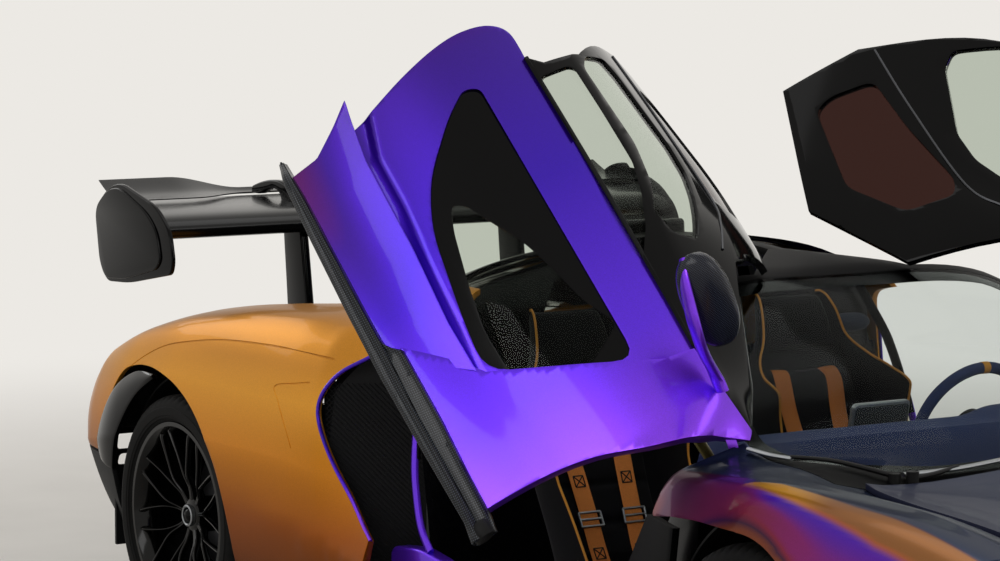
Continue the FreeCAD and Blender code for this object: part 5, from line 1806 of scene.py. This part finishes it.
edged("side_skirts", satinBlack, "root")
edged("tub", carbonFine, "root")
edged("diffuser", carbonFine, "root")
edged("tail_panel", matteBlack, "root")
edged("exhaust_tips", darkSteel, "root")
for side, word in carSides:
    edged("door_hinge_" + word, hingeSteel, "door_" + word)
    edged("knuckle_" + word, darkSteel, "steered_" + word)
for finish, nodes in (
    (carbonFine, ["rear_bulkhead"]),
    (matteBlack, ["undertray", "wheel_housings", "intake_grilles"]),
    (satinAluminium, ["rear_hubs", "engine_block", "gearbox"]),
    (darkSteel, ["front_arms"]),
):
    for node in nodes:
        coat(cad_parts[node], finish)

# studio

studio = {
    "paper": "#ece9e4", "key": 115.0, "fill": 55.0, "top": 62.0, "world": 0.45,
    "nearEdge": 3.5, "farEdge": 8.0,  # metres from the middle, where the paper starts and ends to glow
    "reach": 30000,
}
camera = {
    "spot": (7.5478, -5.67195, 2.0349), "yaw": 32.7616, "pitch": 5.6976,  # metres, degrees
    "focal": 3611.19, "pictureWidth": 1000, "sensor": 36.0,  # pixels, pixels, mm
}


def brightWhereSeen(tree):
    # 1 where the camera, gloss or glass looks at the paper, 0 for the light it gives
    path = addNode(tree, "ShaderNodeLightPath")
    direct = addNode(tree, "ShaderNodeMath", {
        0: path.outputs["Is Camera Ray"], 1: path.outputs["Is Transmission Ray"],
    }, operation="MAXIMUM")
    return addNode(
        tree, "ShaderNodeMath", {0: direct, 1: path.outputs["Is Glossy Ray"]}, operation="MAXIMUM",
    )


# matt paper sweep: keeps the car's shadow near it and runs into the pale background further out
floorPaper, floorTree, floorShader = newMaterial("studio paper", Roughness=0.9)
mottling = addNode(floorTree, "ShaderNodeTexNoise", {"Vector": objectSpace(floorTree), "Scale": 3.0})
paperRamp = addNode(
    floorTree, "ShaderNodeValToRGB", {"Fac": mottling.outputs["Fac"]},
    into=floorShader.inputs["Base Color"],
)
setRamp(paperRamp.color_ramp, [(0.2, srgb("#e6e3de")), (0.8, srgb(studio["paper"]))])
spread = addNode(floorTree, "ShaderNodeVectorMath", {0: objectSpace(floorTree)}, operation="LENGTH")
far = addNode(floorTree, "ShaderNodeMapRange", {
    "Value": spread.outputs["Value"], "From Min": studio["nearEdge"], "From Max": studio["farEdge"],
}, interpolation_type="SMOOTHSTEP")
glow = addNode(floorTree, "ShaderNodeEmission", {"Color": srgb(studio["paper"]), "Strength": 1.0})
amount = addNode(
    floorTree, "ShaderNodeMath", {0: far, 1: brightWhereSeen(floorTree)}, operation="MULTIPLY",
)
addNode(
    floorTree, "ShaderNodeMixShader", {0: amount, 1: floorShader, 2: glow},
    into=floorTree.nodes["Material Output"].inputs["Surface"],
)
reach = studio["reach"]
floorCorners = [(-reach, -reach, 0), (reach, -reach, 0), (reach, reach, 0), (-reach, reach, 0)]
floorSheet = newPiece("studio_floor", floorCorners, [(0, 1, 2, 3)], floorPaper)

world = bpy.data.worlds.new("studio world")
world.use_nodes = True
scene.world = world
worldTree = world.node_tree
dim = worldTree.nodes["Background"]
dim.inputs["Color"].default_value = srgb(studio["paper"])
dim.inputs["Strength"].default_value = studio["world"]
bright = addNode(worldTree, "ShaderNodeBackground", {"Color": srgb(studio["paper"]), "Strength": 1.0})
addNode(
    worldTree, "ShaderNodeMixShader", {0: brightWhereSeen(worldTree), 1: dim, 2: bright},
    into=worldTree.nodes["World Output"].inputs["Surface"],
)


def softbox(name, spot, aim, width, height, power):
    lamp = bpy.data.lights.new(name, "AREA")
    lamp.shape = "RECTANGLE"
    lamp.size, lamp.size_y = width, height
    lamp.energy = power
    holder = bpy.data.objects.new(name, lamp)
    bpy.context.collection.objects.link(holder)
    holder.location = spot
    holder.rotation_euler = (Vector(aim) - Vector(spot)).to_track_quat("-Z", "Y").to_euler()


softbox("key_box", (4.0, -6.5, 5.0), (0, 0, 0.6), 5.0, 2.5, studio["key"])
softbox("fill_box", (7.0, 3.5, 4.0), (0, 0, 0.8), 4.0, 3.0, studio["fill"])
softbox("top_box", (-1.5, 0.5, 6.5), (0, 0, 0.5), 6.0, 3.0, studio["top"])
softbox("back_box", (-6.5, -2.0, 3.5), (-1.0, 0, 0.8), 4.0, 2.0, studio["fill"])

lens = bpy.data.cameras.new("photo camera")
cameraObject = bpy.data.objects.new("photo camera", lens)
bpy.context.collection.objects.link(cameraObject)
lens.sensor_width = camera["sensor"]
lens.lens = camera["focal"] / camera["pictureWidth"] * camera["sensor"]
lens.clip_end = 200.0
yaw, pitch = math.radians(camera["yaw"]), math.radians(camera["pitch"])
sight = Vector((-math.cos(yaw) * math.cos(pitch), math.sin(yaw) * math.cos(pitch), -math.sin(pitch)))
cameraObject.location = camera["spot"]
cameraObject.rotation_euler = sight.to_track_quat("-Z", "Y").to_euler()
scene.camera = cameraObject
scene.view_settings.view_transform = "Standard"
print("studio ready")
